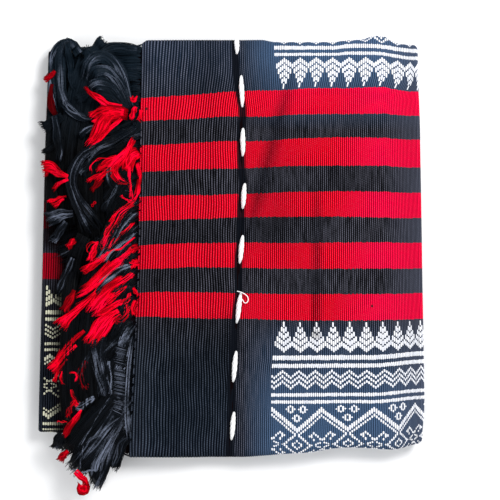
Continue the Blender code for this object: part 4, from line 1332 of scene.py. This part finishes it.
class Look:
    """A material in the making, with one Principled shader."""

    def __init__(self, name, roughness, **fixed):
        self.material = bpy.data.materials.new(name)
        self.material.use_nodes = True
        self.tree = self.material.node_tree
        self.shader = self.tree.nodes["Principled BSDF"]
        self.shader.inputs["Roughness"].default_value = roughness
        for socket, value in fixed.items():
            self.shader.inputs[socket.replace("_", " ")].default_value = value

    def node(self, kind, settings, inputs):
        """A node of that type: its settings first, then its sockets' values or links."""
        made = self.tree.nodes.new(kind)
        for key, value in settings.items():
            setattr(made, key, value)
        for key, value in inputs.items():
            socket = made.inputs[key]
            value = value.socket if isinstance(value, Level) else value
            if isinstance(value, bpy.types.NodeSocket):
                self.tree.links.new(value, socket)
            else:
                socket.default_value = value
        return made

    def held(self, name):
        """A value that the mesh holds at each point."""
        node = self.node("ShaderNodeAttribute", {"attribute_name": name}, {})
        return Level(self, node.outputs["Fac"])

    def place(self):
        """The place in the object's own frame, in metres."""
        return self.node("ShaderNodeTexCoord", {}, {}).outputs["Object"]

    def axes(self, vector):
        node = self.node("ShaderNodeSeparateXYZ", {}, {0: vector})
        return [Level(self, socket) for socket in node.outputs]

    def vector(self, x, y, z):
        return self.node("ShaderNodeCombineXYZ", {}, {0: x, 1: y, 2: z}).outputs[0]

    def noise(self, vector, scale, detail=2.0):
        inputs = {"Vector": vector, "Scale": scale, "Detail": detail}
        return Level(self, self.node("ShaderNodeTexNoise", {}, inputs).outputs["Fac"])

    def mix(self, share, first, second, kind="MIX"):
        settings = {"data_type": "RGBA", "blend_type": kind}
        return self.node("ShaderNodeMix", settings, {0: share, 6: first, 7: second}).outputs[2]

    def finish(self, color, height=None, strength=0.5, distance=0.0004):
        """Feeds the colour, and the bump where a height is given."""
        self.tree.links.new(color, self.shader.inputs["Base Color"])
        if height is not None:
            inputs = {"Height": height, "Strength": strength, "Distance": distance}
            bumped = self.node("ShaderNodeBump", {}, inputs)
            self.tree.links.new(bumped.outputs[0], self.shader.inputs["Normal"])
        return self.material


def cloth_look(
    name, deep, body, crest, fleck, fleck_share, painted_sheen, painted_sheen_share, pale, pale_from, pale_share
):
    """Warp-faced ribbed cloth: painted shade between the ribs and a painted highlight along each
    rib's crest, with single yarns along each rib and small light flecks. Some light and shade is
    painted in by place: a cool sheen at the edges, a lighter right end and fringed end, and shade
    along the creases, over the near left part, in the tacks' recess and on the layers beneath."""
    look = Look(name, 0.85, Specular_IOR_Level=0.02)
    rib, weft, lower = look.held("rib"), look.held("weft"), look.held("lower")
    rise = 1 - abs(2 * rib.fraction() - 1)
    number = rib.floor()
    place = look.place()
    x, y, _ = look.axes(place)
    yarn = (weft * 3.5 + number * 2.4 + look.noise(place, 110.0) * 1.5).sine() * 0.5 + 0.5
    grain = look.noise(look.vector(rib * 1.5, weft * 1.3, 0.0), 1.0, 3.0)
    streak = look.noise(look.vector(number * 0.73, weft * 0.045, 2.0), 1.0, 2.0)
    cloud = look.noise(place, 14.0, 2.0)
    # painted highlight along the rib crests, broken by the single yarns and streaks, with a painted
    # lighter margin towards the fringed end
    light = ((rise - 0.56) * 3.4).within() * (0.30 + 0.70 * yarn) * (streak * 3.0 - 0.85).within()
    light = light * (cloud * 2.2 - 0.3).within() + 0.25 * ((x + 0.078) * -40.0).within() * rise
    # painted shade in the grooves between the ribs, then the painted crest highlight over it
    color = look.mix((rise * 1.9 - 0.30 - 0.35 * grain).within(), deep, body)
    color = look.mix((light * (0.35 + 1.1 * grain)).within(), color, crest)

    # painted cool sheen near the far and near edges, stronger to the right of the tacks
    right = ((x - 0.010) * 28.0).within()
    far_edge = ((y - 0.118) * 13.0).within() * (0.16 + 0.84 * right)
    near_edge = ((-0.065 - y) * 11.0).within() * (0.07 + 0.70 * right)
    cool = (far_edge + near_edge) * (0.55 + 0.9 * cloud) * painted_sheen_share
    color = look.mix((cool * (0.10 + 1.25 * rise * (0.4 + 1.2 * grain))).within(), color, painted_sheen)
    # painted highlight towards the right end, where the cloth turns under
    right_highlight = ((x - pale_from) * 22.0).within() * pale_share
    color = look.mix((right_highlight * (0.05 + 1.3 * rise * (0.4 + grain))).within(), color, pale)
    for shade_x, slant, width, shade_y, length, share in SHADES:
        across = (1 - abs(x - y * slant - shade_x) * (1 / width)).within()
        along = (1.5 - abs(y - shade_y) * (1.5 / length)).within()
        dark = look.mix(1.0, color, (0.30, 0.32, 0.36, 1.0), "MULTIPLY")
        color = look.mix(across * along * share, color, dark)
    dots = (yarn**2) * ((rise - 0.60) * 4.5).within() * (grain * 4.0 - 1.4).within()
    color = look.mix((dots * fleck_share).within(), color, fleck)
    # painted shade over the near left part of the cloth
    near_left_shade = ((-0.062 - y) * 22.0).within() * ((0.004 - x) * 200.0).within() * 0.55
    color = look.mix(near_left_shade, color, look.mix(1.0, color, (0.30, 0.52, 0.58, 1.0), "MULTIPLY"))
    # painted shadow on the layers beneath: a third of their colour, and nearly black further in
    hidden = ((x + 0.182) * 75.0).within() + ((y + 0.004) * 90.0).within() * 0.8
    painted_lower_shadow = look.mix(1.0, color, (0.32, 0.33, 0.34, 1.0), "MULTIPLY")
    beneath = look.mix(hidden.within(), painted_lower_shadow, (0.004, 0.0015, 0.002, 1))
    color = look.mix(lower.within(), color, beneath)
    for spot_x, spot_y, radius in SPOTS:
        away = ((x - spot_x) * (x - spot_x) + (y - spot_y) * (y - spot_y)) ** 0.5
        spot = (2.2 - away * (2.2 / radius)).within() * 0.9
        color = look.mix(spot, color, (0.012, 0.012, 0.014, 1))
    # painted shade, nearly black, in the recess along the tacks
    hollow = (look.held("hollow") * 2.4 - 0.2).within() * 0.97
    color = look.mix(hollow, color, (0.0035, 0.0045, 0.0075, 1))
    height = rise * 0.5 + yarn * 0.35 + grain * 0.4
    return look.finish(color, height, 0.9, 0.0006)


def float_look(name, color, shadow):
    """The soft white yarn of the pattern, with painted bluish shade between its fibres."""
    look = Look(name, 0.8, Specular_IOR_Level=0.05)
    tone, weft = look.held("tone"), look.held("weft")
    grain = look.noise(look.place(), 900.0, 3.0)
    fibre = (weft * 5.0 + tone * 20.0 + grain * 4.0).sine() * 0.5 + 0.5
    shade = (0.22 * tone + 0.35 * grain + 0.12 * fibre - 0.12).within()
    x, y, _ = look.axes(look.place())
    for stain_x, stain_y, radius in STAINS:
        away = ((x - stain_x) * (x - stain_x) + (y - stain_y) * (y - stain_y)) ** 0.5
        stain = (1.4 - away * (1.4 / radius)).within() * (grain * 3.0 - 0.9).within()
        color = look.mix(stain, color, (0.30, 0.27, 0.20, 1))
    color = look.mix(shade, color, shadow)
    # painted shadow over the pattern where it lies under the fringe
    under = ((x + 0.183) * 95.0).within() * ((-0.12 - x) * 200.0).within()
    color = look.mix(under * 0.9, color, (0.012, 0.012, 0.008, 1))
    return look.finish(color, grain + fibre * 0.5, 0.4, 0.0003)


def yarn_look(name, dark, body, light, gloss, far_sheen_share=0.0):
    """Loose twisted yarn, with painted highlight and shade as its lock was laid, fine plies along
    it, and a share of painted cool sheen towards the far edge."""
    look = Look(name, 0.5, Specular_IOR_Level=gloss)
    tone, along, lit = look.held("tone"), look.held("along"), look.held("lit")
    grain = look.noise(look.place(), 420.0, 3.0)
    ply = (along * 150.0 + tone * 40.0 + grain * 5.0).sine() * 0.5 + 0.5
    # painted highlight and shade: the lit value runs the colour from dark through body to light
    level = lit * (0.55 + 0.75 * grain) * (0.85 + 0.25 * ply)
    color = look.mix((level * 2.2).within(), dark, body)
    color = look.mix((level * 1.5 - 0.5).within(), color, light)
    _, y, _ = look.axes(look.place())
    # painted cool sheen towards the far edge
    cool = ((y - 0.095) * 11.0).within() * far_sheen_share
    color = look.mix(cool, color, (0.022, 0.050, 0.082, 1))
    return look.finish(color, ply * 0.6 + grain * 0.5, 0.5, 0.0003)


def floor_look():
    """The pale surface beneath."""
    look = Look("pale_floor", 0.85, Specular_IOR_Level=0.1)
    grain = look.noise(look.place(), 3.0, 2.0)
    return look.finish(look.mix(grain, (0.90, 0.90, 0.90, 1), (0.86, 0.86, 0.865, 1)))


LOOKS = {}

# The stage: the floor's half width and height, the middle of the view and how wide it is, and
# the width of the camera's sensor in millimetres
FLOOR_REACH, FLOOR_Z = 6.0, -0.0003
VIEW_X, VIEW_Y, VIEW_WIDTH = 0.018, -0.002, 0.5
SENSOR_WIDTH = 36.0


def looks_of(*names):
    """The named materials, which the operator for the looks has made."""
    missing = [name for name in names if name not in LOOKS]
    if missing:
        raise RuntimeError(f"make the looks first: {missing}")
    return [LOOKS[name] for name in names]


# The add-on


class BlanketLooks(bpy.types.PropertyGroup):
    """The colours that a user would change."""

    black: bpy.props.FloatVectorProperty(
        name="Black", description="Body colour of the black warp", subtype="COLOR", size=4,
        default=(0.0052, 0.0054, 0.0072, 1.0), min=0, max=1,
    )
    red: bpy.props.FloatVectorProperty(
        name="Red", description="Body colour of the red warp stripes", subtype="COLOR", size=4,
        default=(0.93, 0.0, 0.0140, 1.0), min=0, max=1,
    )
    white: bpy.props.FloatVectorProperty(
        name="White", description="Colour of the pattern and of the tacks", subtype="COLOR", size=4,
        default=(0.96, 0.96, 0.97, 1.0), min=0, max=1,
    )


class BlanketStage(bpy.types.PropertyGroup):
    """The camera and the light."""

    camera_height: bpy.props.FloatProperty(
        name="Camera height", description="Above the top of the packet", unit="LENGTH", default=1.6
    )
    key_power: bpy.props.FloatProperty(
        name="Key light", description="Power of the large soft light", unit="POWER", default=34.0
    )


class BLANKET_OT_looks(bpy.types.Operator):
    """Make the materials of the cloth, the pattern, the fringe and the tacks"""

    bl_idname = "blanket.looks"
    bl_label = "Dye the yarns"

    def execute(self, context):
        colors = context.scene.blanket_looks
        black, red, white = (tuple(color) for color in (colors.black, colors.red, colors.white))
        # painted light in the cloth: shade in the grooves, highlight on the crests, a cool sheen at
        # the edges and a lighter right end
        LOOKS["black_cloth"] = cloth_look(
            "black_cloth", deep=(0.0006, 0.0006, 0.0009, 1), body=black,
            crest=(0.185, 0.185, 0.240, 1), fleck=(0.13, 0.13, 0.165, 1), fleck_share=0.50,
            painted_sheen=(0.065, 0.125, 0.235, 1), painted_sheen_share=1.0,
            pale=(0.088, 0.096, 0.135, 1), pale_from=0.150, pale_share=0.85,
        )
        LOOKS["red_cloth"] = cloth_look(
            "red_cloth", deep=(0.13, 0.0, 0.003, 1), body=red,
            crest=(1.0, 0.0, 0.040, 1), fleck=(1.0, 0.055, 0.11, 1), fleck_share=0.95,
            painted_sheen=(1.0, 0.0, 0.060, 1), painted_sheen_share=0.6,
            pale=(1.0, 0.001, 0.080, 1), pale_from=0.100, pale_share=0.6,
        )
        LOOKS["white_float"] = float_look("white_float", white, (0.44, 0.49, 0.66, 1))
        LOOKS["cream_float"] = float_look(
            "cream_float", (0.66, 0.65, 0.50, 1), (0.34, 0.34, 0.24, 1)
        )
        LOOKS["black_yarn"] = yarn_look(
            "black_yarn", (0.0005, 0.0006, 0.0009, 1), (0.0065, 0.0095, 0.0150, 1),
            (0.165, 0.190, 0.255, 1), 0.05, 0.20,
        )
        LOOKS["red_yarn"] = yarn_look(
            "red_yarn", (0.05, 0.0, 0.001, 1), (0.86, 0.0, 0.012, 1), (1.0, 0.001, 0.045, 1), 0.02,
        )
        LOOKS["tack_yarn"] = yarn_look(
            "tack_yarn", (0.70, 0.70, 0.72, 1), (0.93, 0.93, 0.94, 1), (1.0, 1.0, 1.0, 1), 0.1,
        )
        return {"FINISHED"}


class BLANKET_OT_cloth(bpy.types.Operator):
    """Weave and fold the ribbed cloth, and lay its white pattern on it"""

    bl_idname = "blanket.cloth"
    bl_label = "Weave and fold the cloth"

    def execute(self, context):
        cloth = make_cloth(looks_of("black_cloth", "red_cloth"))
        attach(cloth, "root")
        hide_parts("folded_cloth")
        pattern = make_pattern(looks_of("white_float", "cream_float"))
        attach(pattern, "root")
        return {"FINISHED"}


class BLANKET_OT_fringes(bpy.types.Operator):
    """Knot both fringes and lay out their locks"""

    bl_idname = "blanket.fringes"
    bl_label = "Knot the fringes"

    def execute(self, context):
        made = make_fringes(looks_of("black_yarn", "red_yarn"))
        for fringe, node in zip(made, ("lower_fringe",) + ("upper_fringe",) * 4):
            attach(fringe, "root")
            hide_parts(node)
        return {"FINISHED"}


class BLANKET_OT_tacks(bpy.types.Operator):
    """Sew the row of long white tacks across the top"""

    bl_idname = "blanket.tacks"
    bl_label = "Sew the tacks"

    def execute(self, context):
        for number in range(len(STITCHES)):
            tack = make_tack(number, looks_of("tack_yarn"))
            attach(tack, "root")
            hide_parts(f"stitch_{number + 1}")
        return {"FINISHED"}


class BLANKET_OT_stage(bpy.types.Operator):
    """Set up the floor, the soft light and the camera above"""

    bl_idname = "blanket.stage"
    bl_label = "Set the stage"

    def execute(self, context):
        scene, settings = context.scene, context.scene.blanket_stage
        data = bpy.data.meshes.new("floor")
        signs = ((-1, -1), (1, -1), (1, 1), (-1, 1))
        corners = [(x * FLOOR_REACH, y * FLOOR_REACH, FLOOR_Z) for x, y in signs]
        data.from_pydata(corners, [], [(0, 1, 2, 3)])
        data.materials.append(floor_look())
        floor = bpy.data.objects.new("floor", data)
        scene.collection.objects.link(floor)
        lights = (
            # name, power, size, place
            ("key", settings.key_power, 0.7, (0.9, 0.9, 1.5)),
            ("fill", settings.key_power * 0.30, 1.6, (-1.3, -0.5, 1.5)),
            ("front", settings.key_power * 0.25, 1.4, (0.5, -1.6, 1.3)),
        )
        for name, power, size, place in lights:
            light = bpy.data.lights.new(name, "AREA")
            light.energy, light.size = power, size
            lamp = bpy.data.objects.new(name, light)
            lamp.location = place
            lamp.rotation_euler = (-Vector(place)).to_track_quat("-Z", "Y").to_euler()
            scene.collection.objects.link(lamp)
        world = bpy.data.worlds.new("soft_room")
        world.use_nodes = True
        background = world.node_tree.nodes["Background"]
        background.inputs["Color"].default_value = (0.95, 0.97, 1.0, 1)
        background.inputs["Strength"].default_value = 0.55
        scene.world = world
        scene.view_settings.view_transform = "Standard"
        camera = bpy.data.cameras.new("above")
        camera.lens = SENSOR_WIDTH * settings.camera_height / VIEW_WIDTH
        camera.clip_end = 20.0
        above = bpy.data.objects.new("above", camera)
        above.location = (VIEW_X, VIEW_Y, TOP_HEIGHT + settings.camera_height)
        scene.collection.objects.link(above)
        scene.camera = above
        return {"FINISHED"}


class BLANKET_PT_panel(bpy.types.Panel):
    """Lists the steps of the blanket's making"""

    bl_idname = "BLANKET_PT_panel"
    bl_label = "Handwoven blanket"
    bl_space_type = "VIEW_3D"
    bl_region_type = "UI"
    bl_category = "Blanket"

    def draw(self, context):
        for settings in (context.scene.blanket_looks, context.scene.blanket_stage):
            for name in settings.__annotations__:
                self.layout.prop(settings, name)
        for step in STEPS:
            self.layout.operator(step.bl_idname)


STEPS = (BLANKET_OT_looks, BLANKET_OT_cloth, BLANKET_OT_fringes, BLANKET_OT_tacks, BLANKET_OT_stage)
CLASSES = (BlanketLooks, BlanketStage, *STEPS, BLANKET_PT_panel)


def register():
    for one in CLASSES:
        bpy.utils.register_class(one)
    bpy.types.Scene.blanket_looks = bpy.props.PointerProperty(type=BlanketLooks)
    bpy.types.Scene.blanket_stage = bpy.props.PointerProperty(type=BlanketStage)


def unregister():
    del bpy.types.Scene.blanket_stage
    del bpy.types.Scene.blanket_looks
    for one in reversed(CLASSES):
        bpy.utils.unregister_class(one)


def main():
    register()
    for step in STEPS:
        group, name = step.bl_idname.split(".")
        getattr(getattr(bpy.ops, group), name)()


if __name__ == "__main__":
    main()
